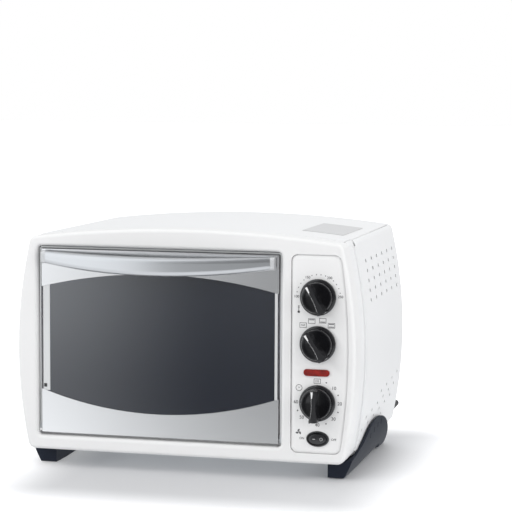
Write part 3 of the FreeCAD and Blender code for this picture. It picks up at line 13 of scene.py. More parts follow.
import bmesh
import bpy
from mathutils import Matrix, Vector


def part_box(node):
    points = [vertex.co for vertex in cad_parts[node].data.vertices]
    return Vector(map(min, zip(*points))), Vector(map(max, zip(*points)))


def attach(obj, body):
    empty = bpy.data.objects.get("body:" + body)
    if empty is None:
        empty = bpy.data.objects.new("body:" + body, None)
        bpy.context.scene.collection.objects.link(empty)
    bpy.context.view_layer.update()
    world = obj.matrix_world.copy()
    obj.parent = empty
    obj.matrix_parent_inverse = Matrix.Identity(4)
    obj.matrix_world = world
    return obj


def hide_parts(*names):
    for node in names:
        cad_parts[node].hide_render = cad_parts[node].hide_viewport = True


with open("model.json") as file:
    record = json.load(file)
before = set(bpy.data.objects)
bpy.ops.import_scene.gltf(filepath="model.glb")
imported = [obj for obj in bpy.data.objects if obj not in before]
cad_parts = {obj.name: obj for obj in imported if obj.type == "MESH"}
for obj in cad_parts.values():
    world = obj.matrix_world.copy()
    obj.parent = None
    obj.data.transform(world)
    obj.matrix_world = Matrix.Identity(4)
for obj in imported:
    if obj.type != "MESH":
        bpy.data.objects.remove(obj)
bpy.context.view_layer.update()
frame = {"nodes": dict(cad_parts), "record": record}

MM = 0.001

# %% [markdown]
# ## Camera
#
# The picture was taken with a long lens from the front right, a little above the oven. A long
# lens keeps the oven's upright edges almost parallel, so the focal length matters more here than
# the distance alone. The turn, the tilt and the small roll are written as a camera operator
# would read them off a tripod head.

# %% Camera on its tripod
IMAGE_SIDE = 512
FOCAL_PIXELS = 2010
CAMERA_AT = Vector((0.681, -2.4015, 0.480))
TURN, TILT, ROLL = math.radians(14.81), math.radians(5.36), math.radians(0.27)

ahead = Vector((-math.sin(TURN) * math.cos(TILT), math.cos(TURN) * math.cos(TILT),
                -math.sin(TILT)))
level = Vector((math.cos(TURN), math.sin(TURN), 0))
upright = level.cross(ahead)
right_way = level * math.cos(ROLL) + upright * math.sin(ROLL)
up_way = upright * math.cos(ROLL) - level * math.sin(ROLL)

camera_data = bpy.data.cameras.new("studio_camera")
camera = bpy.data.objects.new("studio_camera", camera_data)
bpy.context.scene.collection.objects.link(camera)
camera_data.sensor_width = 36
camera_data.lens = FOCAL_PIXELS / IMAGE_SIDE * camera_data.sensor_width
camera_data.clip_end = 60
axes = Matrix((right_way, up_way, -ahead)).transposed()
camera.matrix_world = Matrix.Translation(CAMERA_AT) @ axes.to_4x4()
bpy.context.scene.camera = camera
print("lens %.1f mm" % camera_data.lens)

# %% [markdown]
# ## Effects that several finishes share
#
# Plastic, paint and metal all look wrong when one flat colour covers them. Three small effects
# are built once as node groups, and each finish places them with its own values: a soft mottle
# for slight unevenness of colour and gloss, a moulded texture for the fine grain of plastic and
# paint, and a brushed grain of long thin streaks for worked metal. All of them read Object
# coordinates, so a pattern stays fixed to its piece.

# %% Node groups
def new_group(name, inputs, outputs):
    """An empty shader group with float inputs {name: default} and the named outputs."""
    group = bpy.data.node_groups.new(name, "ShaderNodeTree")
    for label, default in inputs.items():
        socket = group.interface.new_socket(label, in_out="INPUT", socket_type="NodeSocketFloat")
        socket.default_value = default
    for label in outputs:
        group.interface.new_socket(label, in_out="OUTPUT", socket_type="NodeSocketFloat")
    return group, group.nodes.new("NodeGroupInput"), group.nodes.new("NodeGroupOutput")


def noise(nodes, links, vector, scale, detail=3.0, roughness=0.5):
    """A noise texture whose scale is a number or a socket."""
    node = nodes.new("ShaderNodeTexNoise")
    node.inputs["Detail"].default_value = detail
    node.inputs["Roughness"].default_value = roughness
    links.new(vector, node.inputs["Vector"])
    if isinstance(scale, (int, float)):
        node.inputs["Scale"].default_value = scale
    else:
        links.new(scale, node.inputs["Scale"])
    return node.outputs["Fac"]


def stretch(nodes, links, value, low, high):
    """Map a value's middle range to 0..1."""
    node = nodes.new("ShaderNodeMapRange")
    node.inputs["From Min"].default_value = low
    node.inputs["From Max"].default_value = high
    links.new(value, node.inputs["Value"])
    return node.outputs["Result"]


def mottle_group():
    group, start, end = new_group("soft_mottle", {"Scale": 12.0}, ["Mask"])
    place = group.nodes.new("ShaderNodeTexCoord").outputs["Object"]
    broad = noise(group.nodes, group.links, place, start.outputs["Scale"], 4)
    group.links.new(stretch(group.nodes, group.links, broad, 0.3, 0.7), end.inputs["Mask"])
    return group


def grain_group():
    group, start, end = new_group("moulded_grain", {"Scale": 900.0}, ["Height"])
    place = group.nodes.new("ShaderNodeTexCoord").outputs["Object"]
    fine = noise(group.nodes, group.links, place, start.outputs["Scale"], 2, 0.6)
    group.links.new(fine, end.inputs["Height"])
    return group


def brushed_group():
    """Streaks along X: the pattern is squeezed across them and drawn out along them."""
    group, start, end = new_group("brushed_streaks", {"Scale": 700.0, "Stretch": 0.02},
                                  ["Mask", "Height"])
    nodes, links = group.nodes, group.links
    place = nodes.new("ShaderNodeTexCoord").outputs["Object"]
    squeeze = nodes.new("ShaderNodeCombineXYZ")
    links.new(start.outputs["Stretch"], squeeze.inputs["X"])
    squeeze.inputs["Y"].default_value = 1
    squeeze.inputs["Z"].default_value = 1
    drawn = nodes.new("ShaderNodeVectorMath")
    drawn.operation = "MULTIPLY"
    links.new(place, drawn.inputs[0])
    links.new(squeeze.outputs["Vector"], drawn.inputs[1])
    streaks = noise(nodes, links, drawn.outputs["Vector"], start.outputs["Scale"], 4, 0.65)
    links.new(stretch(nodes, links, streaks, 0.25, 0.75), end.inputs["Mask"])
    links.new(streaks, end.inputs["Height"])
    return group


EFFECTS = {"mottle": mottle_group(), "grain": grain_group(), "brushed": brushed_group()}
print("effects:", sorted(EFFECTS))

# %% [markdown]
# ## Finishes
#
# One function lays down a finish from plain words: a base colour, a second colour that the
# mottle or the streaks mix in, how the gloss varies, and how deep the grain is. Constant values
# such as the coat or the refraction go straight on the shader's own sockets. Each finish is
# named for what it covers on this oven, and it is assigned to every node of the frame that the
# record gives that material slot.

# %% Finish builder
def effect(material, name, **values):
    node = material.node_tree.nodes.new("ShaderNodeGroup")
    node.node_tree = EFFECTS[name]
    for label, value in values.items():
        node.inputs[label].default_value = value
    return node


def finish(name, colour, second=None, rough=(0.4, 0.45), metal=0.0, pattern="mottle",
           pattern_scale=12.0, grain_scale=900.0, grain=0.0, coat=0.0, **plain):
    """A material whose colour and gloss vary with a pattern, over a fine bump."""
    material = bpy.data.materials.new(name)
    material.use_nodes = True
    nodes, links = material.node_tree.nodes, material.node_tree.links
    shader = nodes["Principled BSDF"]
    shader.inputs["Metallic"].default_value = metal
    shader.inputs["Coat Weight"].default_value = coat
    shader.inputs["Coat Roughness"].default_value = 0.12
    for label, value in plain.items():
        shader.inputs[label.replace("_", " ")].default_value = value
    mask = effect(material, pattern, Scale=pattern_scale).outputs["Mask"]
    blend = nodes.new("ShaderNodeMix")
    blend.data_type = "RGBA"
    blend.inputs["A"].default_value = (*colour, 1)
    blend.inputs["B"].default_value = (*(second or colour), 1)
    links.new(mask, blend.inputs["Factor"])
    links.new(blend.outputs["Result"], shader.inputs["Base Color"])
    gloss = nodes.new("ShaderNodeMapRange")
    gloss.inputs["To Min"].default_value, gloss.inputs["To Max"].default_value = rough
    links.new(mask, gloss.inputs["Value"])
    links.new(gloss.outputs["Result"], shader.inputs["Roughness"])
    if grain:
        bump = nodes.new("ShaderNodeBump")
        bump.inputs["Strength"].default_value = 0.4
        bump.inputs["Distance"].default_value = grain * MM
        source = "brushed" if pattern == "brushed" else "grain"
        links.new(effect(material, source, Scale=grain_scale).outputs["Height"],
                  bump.inputs["Height"])
        links.new(bump.outputs["Normal"], shader.inputs["Normal"])
    return material


# %% Finishes for this oven
FINISHES = {
    "white_moulding": finish("white_moulding", (0.80, 0.80, 0.80), (0.805, 0.805, 0.805),
                             (0.33, 0.34), pattern_scale=40, grain=0.01),
    "panel_white": finish("panel_white", (0.82, 0.82, 0.82), (0.825, 0.825, 0.825),
                          (0.34, 0.35), pattern_scale=40, grain=0.01),
    "white_enamel": finish("white_enamel", (0.80, 0.805, 0.812), (0.805, 0.81, 0.817),
                           (0.40, 0.42), pattern_scale=40, grain_scale=420, grain=0.03),
    "zinc_sheet": finish("zinc_sheet", (0.50, 0.51, 0.52), (0.62, 0.63, 0.64), (0.34, 0.5),
                         metal=1.0, pattern_scale=45, grain=0.02),
    "leg_grey": finish("leg_grey", (0.012, 0.016, 0.026), (0.015, 0.019, 0.031), (0.58, 0.64),
                       grain_scale=1300, grain=0.04, Specular_IOR_Level=0.16),
    "pad_rubber": finish("pad_rubber", (0.02, 0.02, 0.02), (0.03, 0.03, 0.03), (0.8, 0.9),
                         grain=0.1),
    "screw_steel": finish("screw_steel", (0.55, 0.55, 0.56), (0.62, 0.62, 0.62), (0.28, 0.36),
                          metal=1.0, grain=0.02),
    "liner_steel": finish("liner_steel", (0.38, 0.39, 0.40), (0.46, 0.47, 0.48), (0.3, 0.42),
                          metal=1.0, pattern="brushed", grain_scale=500, grain=0.02),
    "heater_steel": finish("heater_steel", (0.10, 0.095, 0.09), (0.16, 0.14, 0.12), (0.45, 0.6),
                           metal=0.7, pattern_scale=60, grain=0.04),
    "bush_ceramic": finish("bush_ceramic", (0.75, 0.72, 0.64), (0.80, 0.78, 0.71), (0.5, 0.65),
                           grain=0.05),
    "fan_alloy": finish("fan_alloy", (0.58, 0.59, 0.60), (0.66, 0.67, 0.68), (0.3, 0.42),
                        metal=1.0, pattern="brushed", grain_scale=500, grain=0.015),
    "motor_can": finish("motor_can", (0.05, 0.05, 0.055), (0.07, 0.07, 0.075), (0.4, 0.5),
                        grain=0.04),
    "door_silver": finish("door_silver", (0.79, 0.79, 0.795), (0.80, 0.80, 0.805), (0.16, 0.18),
                          metal=1.0, pattern="brushed", pattern_scale=900, grain_scale=900,
                          grain=0.001),
    "handle_silver": finish("handle_silver", (0.60, 0.61, 0.625), (0.61, 0.62, 0.635),
                            (0.34, 0.36), metal=1.0, pattern_scale=20, grain_scale=2400,
                            grain=0.002, coat=0.2),
    "cap_grey": finish("cap_grey", (0.58, 0.59, 0.60), (0.62, 0.63, 0.64), (0.3, 0.4),
                       metal=0.4, grain=0.02),
    "bright_wire": finish("bright_wire", (0.72, 0.72, 0.72), (0.78, 0.78, 0.78), (0.12, 0.2),
                          metal=1.0, pattern_scale=90, grain=0.01),
    "black_enamel": finish("black_enamel", (0.012, 0.012, 0.014), (0.02, 0.02, 0.022),
                           (0.12, 0.2), grain_scale=300, grain=0.05, coat=0.4),
    "knob_black": finish("knob_black", (0.008, 0.008, 0.0095), (0.010, 0.010, 0.012),
                         (0.20, 0.26), grain_scale=1500, grain=0.006, coat=0.3),
    "marker_white": finish("marker_white", (0.75, 0.75, 0.75), (0.8, 0.8, 0.8), (0.35, 0.45)),
    "shaft_steel": finish("shaft_steel", (0.55, 0.55, 0.55), (0.62, 0.62, 0.62), (0.2, 0.3),
                          metal=1.0, pattern="brushed", grain=0.01),
    "switch_grey": finish("switch_grey", (0.42, 0.42, 0.39), (0.47, 0.47, 0.44), (0.5, 0.6),
                          grain=0.04),
    "switch_black": finish("switch_black", (0.010, 0.010, 0.012), (0.018, 0.018, 0.02),
                           (0.22, 0.3), grain_scale=1500, grain=0.01, coat=0.3),
    "gland_black": finish("gland_black", (0.02, 0.02, 0.022), (0.03, 0.03, 0.033), (0.45, 0.55),
                          grain=0.05),
    "lens_red": finish("lens_red", (0.33, 0.016, 0.010), (0.13, 0.006, 0.004), (0.08, 0.12),
                       pattern_scale=170, coat=0.8, Subsurface_Weight=0.1),
    "lamp_glass": finish("lamp_glass", (0.9, 0.35, 0.15), (0.95, 0.45, 0.2), (0.1, 0.15),
                         Transmission_Weight=0.6),
    "clear_glass": finish("clear_glass", (0.25, 0.35, 0.65), (0.27, 0.37, 0.67), (0.0, 0.01),
                          pattern_scale=6, Transmission_Weight=0.97, IOR=2.15),
    "smoked_glass": finish("smoked_glass", (0.013, 0.017, 0.027), (0.015, 0.019, 0.030),
                           (0.02, 0.03), pattern_scale=5, coat=0.7, Transmission_Weight=0.35,
                           IOR=1.55),
}

slot_of = {part["node"]: part["material_slot"] for part in frame["record"]["subparts"]}
for node, piece in frame["nodes"].items():
    piece.data.materials.clear()
    piece.data.materials.append(FINISHES[slot_of[node]])
flange_white = finish("flange_white", (0.74, 0.74, 0.75), (0.78, 0.78, 0.79), (0.4, 0.5))
frame["nodes"]["front_flange"].data.materials[0] = flange_white
print("finishes:", len(FINISHES))

# %% [markdown]
# ## Helpers for new pieces
#
# Small printed marks, plates and caps are made as real meshes with a little thickness. A piece
# is finished with the same few steps each time: take a mesh, link an object that sits at the
# origin, give it its finish, and let it ride on its body.

# %% Piece helpers
def add_piece(name, mesh, slot, body, replaced=(), material=None):
    """Link a finished mesh as an object of the oven, on one of its bodies."""
    mesh.name = name
    piece = bpy.data.objects.new(name, mesh)
    bpy.context.scene.collection.objects.link(piece)
    mesh.materials.clear()
    mesh.materials.append(material or FINISHES[slot])
    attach(piece, body)
    if replaced:
        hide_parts(*replaced)
    return piece


def mesh_from(shape, name):
    """Turn a bmesh into a mesh with its faces pointing outwards."""
    bmesh.ops.remove_doubles(shape, verts=shape.verts, dist=1e-6)
    bmesh.ops.recalc_face_normals(shape, faces=shape.faces)
    mesh = bpy.data.meshes.new(name)
    shape.to_mesh(mesh)
    shape.free()
    return mesh


def smooth(mesh, angle=35):
    """Shade smooth, but keep edges sharper than the angle."""
    for face in mesh.polygons:
        face.use_smooth = True
    mesh.set_sharp_from_angle(angle=math.radians(angle))
    return mesh


def settled(piece):
    """The plain mesh that an object's modifiers or text give."""
    bpy.context.view_layer.update()
    graph = bpy.context.evaluated_depsgraph_get()
    return bpy.data.meshes.new_from_object(piece.evaluated_get(graph))


def plate(shape, outline, y_back, y_front):
    """Add a flat plate, an outline of (x, z) points given thickness along Y."""
    back = [shape.verts.new((x, y_back, z)) for x, z in outline]
    fore = [shape.verts.new((x, y_front, z)) for x, z in outline]
    shape.faces.new(fore)
    shape.faces.new(back[::-1])
    for n in range(len(outline)):
        m = (n + 1) % len(outline)
        shape.faces.new((back[n], back[m], fore[m], fore[n]))


def lathe(profile, steps=96):
    """Turn a profile of (radius, y) points about the Y axis into a closed mesh."""
    shape = bmesh.new()
    rings = []
    for radius, y in profile:
        if radius < 1e-7:
            rings.append([shape.verts.new((0, y, 0))])
            continue
        rings.append([shape.verts.new((radius * math.cos(math.tau * n / steps), y,
                                       radius * math.sin(math.tau * n / steps)))
                      for n in range(steps)])
    for one, two in zip(rings, rings[1:]):
        for n in range(steps):
            m = (n + 1) % steps
            corners = [one[n % len(one)], one[m % len(one)], two[m % len(two)],
                       two[n % len(two)]]
            corners = list(dict.fromkeys(corners))
            if len(corners) > 2:
                shape.faces.new(corners)
    return shape


# %% [markdown]
# ## Knobs
#
# A knob on this panel is a black moulding: a sloping skirt, a ring, a hollowed dish and a raised
# grip that runs right across, waisted in the middle and flared at both ends. The dish is turned
# as on a lathe from a profile, and the grip is an outline of two shallow arcs, raised and given
# rounded edges by a bevel. A white wedge is laid into the grip's pointing end, and a thin white
# line runs from it down the grip's left edge as a painted highlight. The three knobs are one
# function, turned to the angles that their nodes have.

# %% Knob
panel_low, panel_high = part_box("control_panel")
PANEL_Y = panel_low.y
KNOBS = {"temp": ("temperature_dial", 118), "mode": ("mode_dial", 124),
         "timer": ("timer_dial", 90)}

SKIRT_RADIUS = 21.2 * MM
DISH_RADIUS = 17.6 * MM
GRIP_FRONT = 25 * MM
GRIP_POINT, GRIP_TAIL = 17.6 * MM, 19.9 * MM
GRIP_WAIST, POINT_FLARE, TAIL_FLARE = 2.9 * MM, 4.1 * MM, 5.6 * MM


def dial_body():
    """Skirt, ring and dish, from the back edge of the skirt to the middle of the dish."""
    rows = [(0, -1.2), (20.4, -1.2), (21.2, -1.6), (21.2, -4.2), (20.9, -5.0), (20.2, -5.7),
            (19.3, -6.1), (18.9, -6.2), (18.6, -5.9), (18.3, -6.1), (18.1, -8.6), (17.9, -10.4),
            (17.4, -11.3), (16.7, -11.6), (15.9, -11.3), (14.4, -10.2), (12, -9.0),
            (8, -8.0), (4, -7.6), (0, -7.5)]
    return lathe([(radius * MM, y * MM) for radius, y in rows])


def waisted(z):
    """Half width of the grip at a height: narrow in the middle, widest at its tail."""
    if z > 0:
        return GRIP_WAIST + (POINT_FLARE - GRIP_WAIST) * (z / GRIP_POINT) ** 1.8
    return GRIP_WAIST + (TAIL_FLARE - GRIP_WAIST) * (-z / GRIP_TAIL) ** 1.8


def grip():
    steps = 18
    low = -math.sqrt(GRIP_TAIL ** 2 - TAIL_FLARE ** 2)
    high = math.sqrt(GRIP_POINT ** 2 - POINT_FLARE ** 2)
    levels = [low + (high - low) * n / steps for n in range(steps + 1)]
    right = [(waisted(z), z) for z in levels]
    share = [0.66, 0.33, 0, -0.33, -0.66]
    crown = [(POINT_FLARE * f, math.sqrt(GRIP_POINT ** 2 - (POINT_FLARE * f) ** 2)) for f in share]
    heel = [(-TAIL_FLARE * f, -math.sqrt(GRIP_TAIL ** 2 - (TAIL_FLARE * f) ** 2)) for f in share]
    outline = right + crown + [(-x, z) for x, z in reversed(right)] + heel
    shape = bmesh.new()
    plate(shape, outline, -6.5 * MM, -GRIP_FRONT)
    edges = [e for e in shape.edges if all(v.co.y < -GRIP_FRONT + MM for v in e.verts)
             or abs(e.verts[0].co.y - e.verts[1].co.y) > 5 * MM
             and abs(e.calc_face_angle(0)) > 0.6]
    bmesh.ops.bevel(shape, geom=edges, offset=1.3 * MM, segments=4, profile=0.6,
                    affect="EDGES")
    return shape


def pointer_and_highlight():
    """The white pointer, wide at the tip, then a painted highlight: a thin white line down the
    grip's left edge.
    """
    shape = bmesh.new()
    top, foot, end = GRIP_POINT - 1.5 * MM, GRIP_POINT - 8.5 * MM, -GRIP_TAIL + 5 * MM
    edge = 1.0 * MM
    left = [top + (end - top) * n / 16 for n in range(17)]
    outline = [(edge - waisted(z), z) for z in left]
    inner = [(edge - waisted(z) + 0.16 * MM, z) for z in reversed(left) if z < foot]
    outline += inner + [(-0.9 * MM, foot), (-0.2 * MM, top)]
    plate(shape, outline, -GRIP_FRONT + 0.3 * MM, -GRIP_FRONT - 0.1 * MM)
    return shape


def on_knob(shape, knob):
    """Turn a shape drawn about the origin to the knob's pointer and set it on its axis."""
    low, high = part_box(knob + "_shaft")
    angle = math.radians(90 - KNOBS[knob][1])
    at = Vector(((low.x + high.x) / 2, PANEL_Y, (low.z + high.z) / 2))
    shape.transform(Matrix.Translation(at) @ Matrix.Rotation(angle, 4, "Y"))
    return shape


for knob, (body, pointer) in KNOBS.items():
    moulding = dial_body()
    extra = grip()
    spare = mesh_from(extra, "grip")
    moulding.from_mesh(spare)
    bpy.data.meshes.remove(spare)
    mesh = smooth(mesh_from(on_knob(moulding, knob), knob + "_dial"))
    add_piece(knob + "_dial", mesh, "knob_black", body, [knob + "_knob"])
    # The pointer wedge and the painted highlight line down the grip's left edge are one white mesh.
    add_piece(knob + "_pointer", mesh_from(on_knob(pointer_and_highlight(), knob), knob + "_pointer"),
              "marker_white", body, [knob + "_marker"])
print("knobs:", ", ".join(KNOBS))

# %% [markdown]
# ## Control panel
#
# The panel is a white moulding whose edge rolls back into the bezel, so its left side catches the
# light and its bowed right side falls into shade. It is made as a stack of outlines, each one a
# little further in and a little further forward, joined by quads. A Boolean then cuts the holes
# for the three shafts, the lamp and the switch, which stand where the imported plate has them.

# %% Panel plate
EDGE_ROLL = [(0, 3.0), (0, 1.9), (0.7, 1.15), (1.7, 0.66), (3.0, 0.30), (4.4, 0.08), (5.6, 0)]


def arc_points(a, through, b, steps):
    """Points on the arc from a to b through a third point, both ends included."""
    (ax, ay), (tx, ty), (bx, by) = a, through, b
    turn = 2 * (ax * (ty - by) + tx * (by - ay) + bx * (ay - ty))
    squares = ax * ax + ay * ay, tx * tx + ty * ty, bx * bx + by * by
    cx = (squares[0] * (ty - by) + squares[1] * (by - ay) + squares[2] * (ay - ty)) / turn
    cy = (squares[0] * (bx - tx) + squares[1] * (ax - bx) + squares[2] * (tx - ax)) / turn
    radius = math.hypot(ax - cx, ay - cy)
    start = math.atan2(ay - cy, ax - cx)
    sweep = (math.atan2(by - cy, bx - cx) - start + math.pi) % math.tau - math.pi
    return [(cx + radius * math.cos(start + sweep * n / steps),
             cy + radius * math.sin(start + sweep * n / steps)) for n in range(steps + 1)]


def panel_outline(inset):
    """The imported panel's outline in millimetres: square on its left, bowed on its right."""
    left, low, top = 130.9 + inset, 34.4 + inset, 265.6 - inset
    edge, bow, r = 189.1 - inset, 198.6 - inset, 7.6 - inset
    k, lean = r * (1 - math.sqrt(0.5)), r * 0.2
    foot, head = (edge + lean, low + r), (edge + lean, top - r)
    return (arc_points((edge - r, low), (edge - k + lean / 2, low + k), foot, 8)
            + arc_points(foot, (bow, (low + top) / 2), head, 40)[1:]
            + arc_points(head, (edge - k + lean / 2, top - k), (edge - r, top), 8)[1:]
            + arc_points((left + r, top), (left + k, top - k), (left, top - r), 8)
            + arc_points((left, low + r), (left + k, low + k), (left + r, low), 8))


def slot_outline(x, z, long, high, steps=12):
    """A slot with round ends, or a ring where both sizes are the same."""
    reach, r = (long - high) / 2, high / 2
    turns = [math.pi * (n / steps - 0.5) for n in range(steps + 1)]
    right = [(x + reach + r * math.cos(t), z + r * math.sin(t)) for t in turns]
    return right + [(x - reach - r * math.cos(t), z - r * math.sin(t)) for t in turns]


sheet = bmesh.new()
rings = [[sheet.verts.new((x * MM, PANEL_Y + deep * MM, z * MM)) for x, z in panel_outline(inset)]
         for inset, deep in EDGE_ROLL]
sheet.faces.new(rings[0])
sheet.faces.new(rings[-1])
for one, two in zip(rings, rings[1:]):
    for n in range(len(one)):
        m = (n + 1) % len(one)
        sheet.faces.new((one[n], one[m], two[m], two[n]))
punch = bmesh.new()
for x, z, long, high in ((163, 217.0, 7, 7), (163, 162.5, 7, 7), (163, 93.8, 7, 7),
                         (161.6, 129.0, 31, 8), (163.2, 51.6, 24, 15.4)):
    plate(punch, [(px * MM, pz * MM) for px, pz in slot_outline(x, z, long, high)],
          PANEL_Y + 6 * MM, PANEL_Y - 5 * MM)
blank = bpy.data.objects.new("panel_blank", mesh_from(sheet, "panel_blank"))
tool = bpy.data.objects.new("panel_punch", mesh_from(punch, "panel_punch"))
for thing in (blank, tool):
    bpy.context.scene.collection.objects.link(thing)
cut = blank.modifiers.new("holes", "BOOLEAN")
cut.operation, cut.object, cut.solver = "DIFFERENCE", tool, "EXACT"
panel_mesh = smooth(settled(blank))
for thing in (blank, tool):
    bpy.data.objects.remove(thing)
for face in panel_mesh.polygons:
    face.use_smooth = face.area < 60 * MM * MM
add_piece("control_plate", panel_mesh, "panel_white", "oven_body", ["control_panel"])
print("panel plate:", len(panel_mesh.polygons), "faces")

# %% [markdown]
# ## Prints on the panel
#
# The panel carries plain numbers, dots and small line symbols in grey ink. Numbers start as text
# objects, because a font's curves are the cleanest source, and become a mesh before they are
# placed. The symbols are strokes: a run of points given a width. Each print is a twentieth of a
# millimetre proud of the panel, so that it can't flicker with it.

# %% Ink and strokes
INK_PROUD = 0.05 * MM
ink = finish("panel_ink", (0.055, 0.055, 0.06), (0.075, 0.075, 0.08), (0.5, 0.6))


def stroke(shape, points, width, closed=False, y=PANEL_Y):
    """Ribbons of a constant width along a run of (x, z) points in millimetres."""
    ends = list(zip(points, points[1:] + points[:1] if closed else points[1:]))
    for (x0, z0), (x1, z1) in ends:
        along = Vector((x1 - x0, z1 - z0)).normalized() * width / 2
        side = Vector((-along.y, along.x))
        outline = [(x0 - along.x + side.x, z0 - along.y + side.y),
                   (x1 + along.x + side.x, z1 + along.y + side.y),
                   (x1 + along.x - side.x, z1 + along.y - side.y),
                   (x0 - along.x - side.x, z0 - along.y - side.y)]
        plate(shape, [(x * MM, z * MM) for x, z in outline], y, y - INK_PROUD)


def disc(shape, x, z, radius, steps=20, y=PANEL_Y):
    plate(shape, [((x + radius * math.cos(math.tau * n / steps)) * MM,
                   (z + radius * math.sin(math.tau * n / steps)) * MM) for n in range(steps)],
          y, y - INK_PROUD)


def round_path(x, z, radius, steps=28):
    return [(x + radius * math.cos(math.tau * n / steps),
             z + radius * math.sin(math.tau * n / steps)) for n in range(steps)]


def lettering(shape, words, x, z, high, y=PANEL_Y):
    """Centre some characters of a given height, in millimetres, on a point of the panel."""
    text = bpy.data.curves.new("lettering", "FONT")
    text.body = words
    text.size = high * MM / 0.72
    text.align_x, text.align_y = "CENTER", "CENTER"
    text.extrude = INK_PROUD / 2
    text.offset = 0.06 * MM
    holder = bpy.data.objects.new("lettering", text)
    bpy.context.scene.collection.objects.link(holder)
    mesh = settled(holder)
    mesh.transform(Matrix.Translation((x * MM, y - INK_PROUD / 2, z * MM))
                   @ Matrix.Rotation(math.radians(90), 4, "X"))
    shape.from_mesh(mesh)
    bpy.data.objects.remove(holder)
    bpy.data.curves.remove(text)
    bpy.data.meshes.remove(mesh)


# %% Numbers and symbols
KNOB_X = 163.0
TEMP_Z, MODE_Z, TIMER_Z = 217.0, 162.5, 93.8
DIAL_RING = 26.0
INK_WIDTH = 0.55


def around(z, angle, radius=DIAL_RING):
    return (KNOB_X + radius * math.cos(math.radians(angle)),
            z + radius * math.sin(math.radians(angle)))


def temperature_prints(shape):
    for number, angle in (("100", 180), ("150", 120), ("200", 60), ("250", 2)):
        lettering(shape, number, *around(TEMP_Z, angle), 3.0)
    x, z = 139.7, 202.3
    stroke(shape, [(x, z - 2.6), (x, z + 4.2)], 0.7)
    stroke(shape, [(x - 0.8, z + 1.2), (x - 0.8, z + 4.0), (x + 0.8, z + 4.0), (x + 0.8, z + 1.2)],
           0.25)
    disc(shape, x, z - 3, 1.5)


def mode_prints(shape):
    """Four oven boxes: fan, upper heat, lower heat, both heats."""
    spots = ((145, 183.9), (155.2, 188.9), (168.2, 189.7), (178.5, 184.3))
    for number, (x, z) in enumerate(spots):
        wide, high = 3.9, 2.7
        stroke(shape, [(x - wide, z - high), (x + wide, z - high), (x + wide, z + high),
                       (x - wide, z + high)], INK_WIDTH, closed=True)
        if number == 0:
            stroke(shape, [(x - 1.8, z), (x + 1.8, z)], 0.8)
            stroke(shape, [(x - 1.8, z + 1.2), (x - 1.8, z - 0.2)], 0.4)
            stroke(shape, [(x + 1.8, z + 1.2), (x + 1.8, z - 0.2)], 0.4)
        if number in (1, 3):
            stroke(shape, [(x - 2.6, z + 1.5), (x + 2.6, z + 1.5)], 0.9)
        if number in (2, 3):
            stroke(shape, [(x - 2.6, z - 1.5), (x + 2.6, z - 1.5)], 0.9)


def timer_prints(shape):
    for number, angle in (("10", 43), ("20", 0), ("30", -44), ("40", -91), ("50", -137),
                          ("60", 180)):
        lettering(shape, number, *around(TIMER_Z, angle), 3.9)
    x, z = 140.6, 110.7
    stroke(shape, round_path(x, z, 3.6), INK_WIDTH, closed=True)
    stroke(shape, [(x - 1.3, z + 1.3), (x, z), (x + 1.5, z + 1.0)], 0.4)
    x, z = 162.2, 119.2
    stroke(shape, [(x - 3.8, z - 2.6), (x + 3.8, z - 2.6), (x + 3.8, z + 2.6), (x - 3.8, z + 2.6)],
           INK_WIDTH, closed=True)
    for step in (-1.6, 0, 1.6):
        stroke(shape, [(x + step, z - 1.2), (x + step, z + 1.2)], 0.5)


def switch_prints(shape):
    lettering(shape, "ON", 144.3, 51.5, 2.6)
    lettering(shape, "OFF", 182.3, 51.4, 2.6)
    x, z = 140.4, 58.8
    disc(shape, x, z, 0.55)
    for blade in range(3):
        turn = math.radians(90 + 120 * blade)
        lean = turn - math.radians(38)
        middle = (x + 2.0 * math.cos(turn), z + 2.0 * math.sin(turn))
        petal = []
        for n in range(18):
            along = 1.75 * math.cos(math.tau * n / 18)
            across = 1.05 * math.sin(math.tau * n / 18)
            petal.append(((middle[0] + along * math.cos(lean) - across * math.sin(lean)) * MM,
                          (middle[1] + along * math.sin(lean) + across * math.cos(lean)) * MM))
        plate(shape, petal, PANEL_Y, PANEL_Y - INK_PROUD)


prints = bmesh.new()
for job in (temperature_prints, mode_prints, timer_prints, switch_prints):
    job(prints)
add_piece("panel_prints", mesh_from(prints, "panel_prints"), "panel_white", "oven_body",
          material=ink)
print("prints: temperature, heat modes, minutes, fan")

# %% [markdown]
# ## Dots round the dials
#
# The dots are the panel's clearest repeat, so a small Geometry Nodes tree makes them. It bends a
# line of points into an arc, sets a flat disc on each, drops every dot where a number stands,
# and hands back a real mesh. The arc's radius, its two end angles, the count and how many dots
# belong to one number are inputs, so that both dials use the same tree.

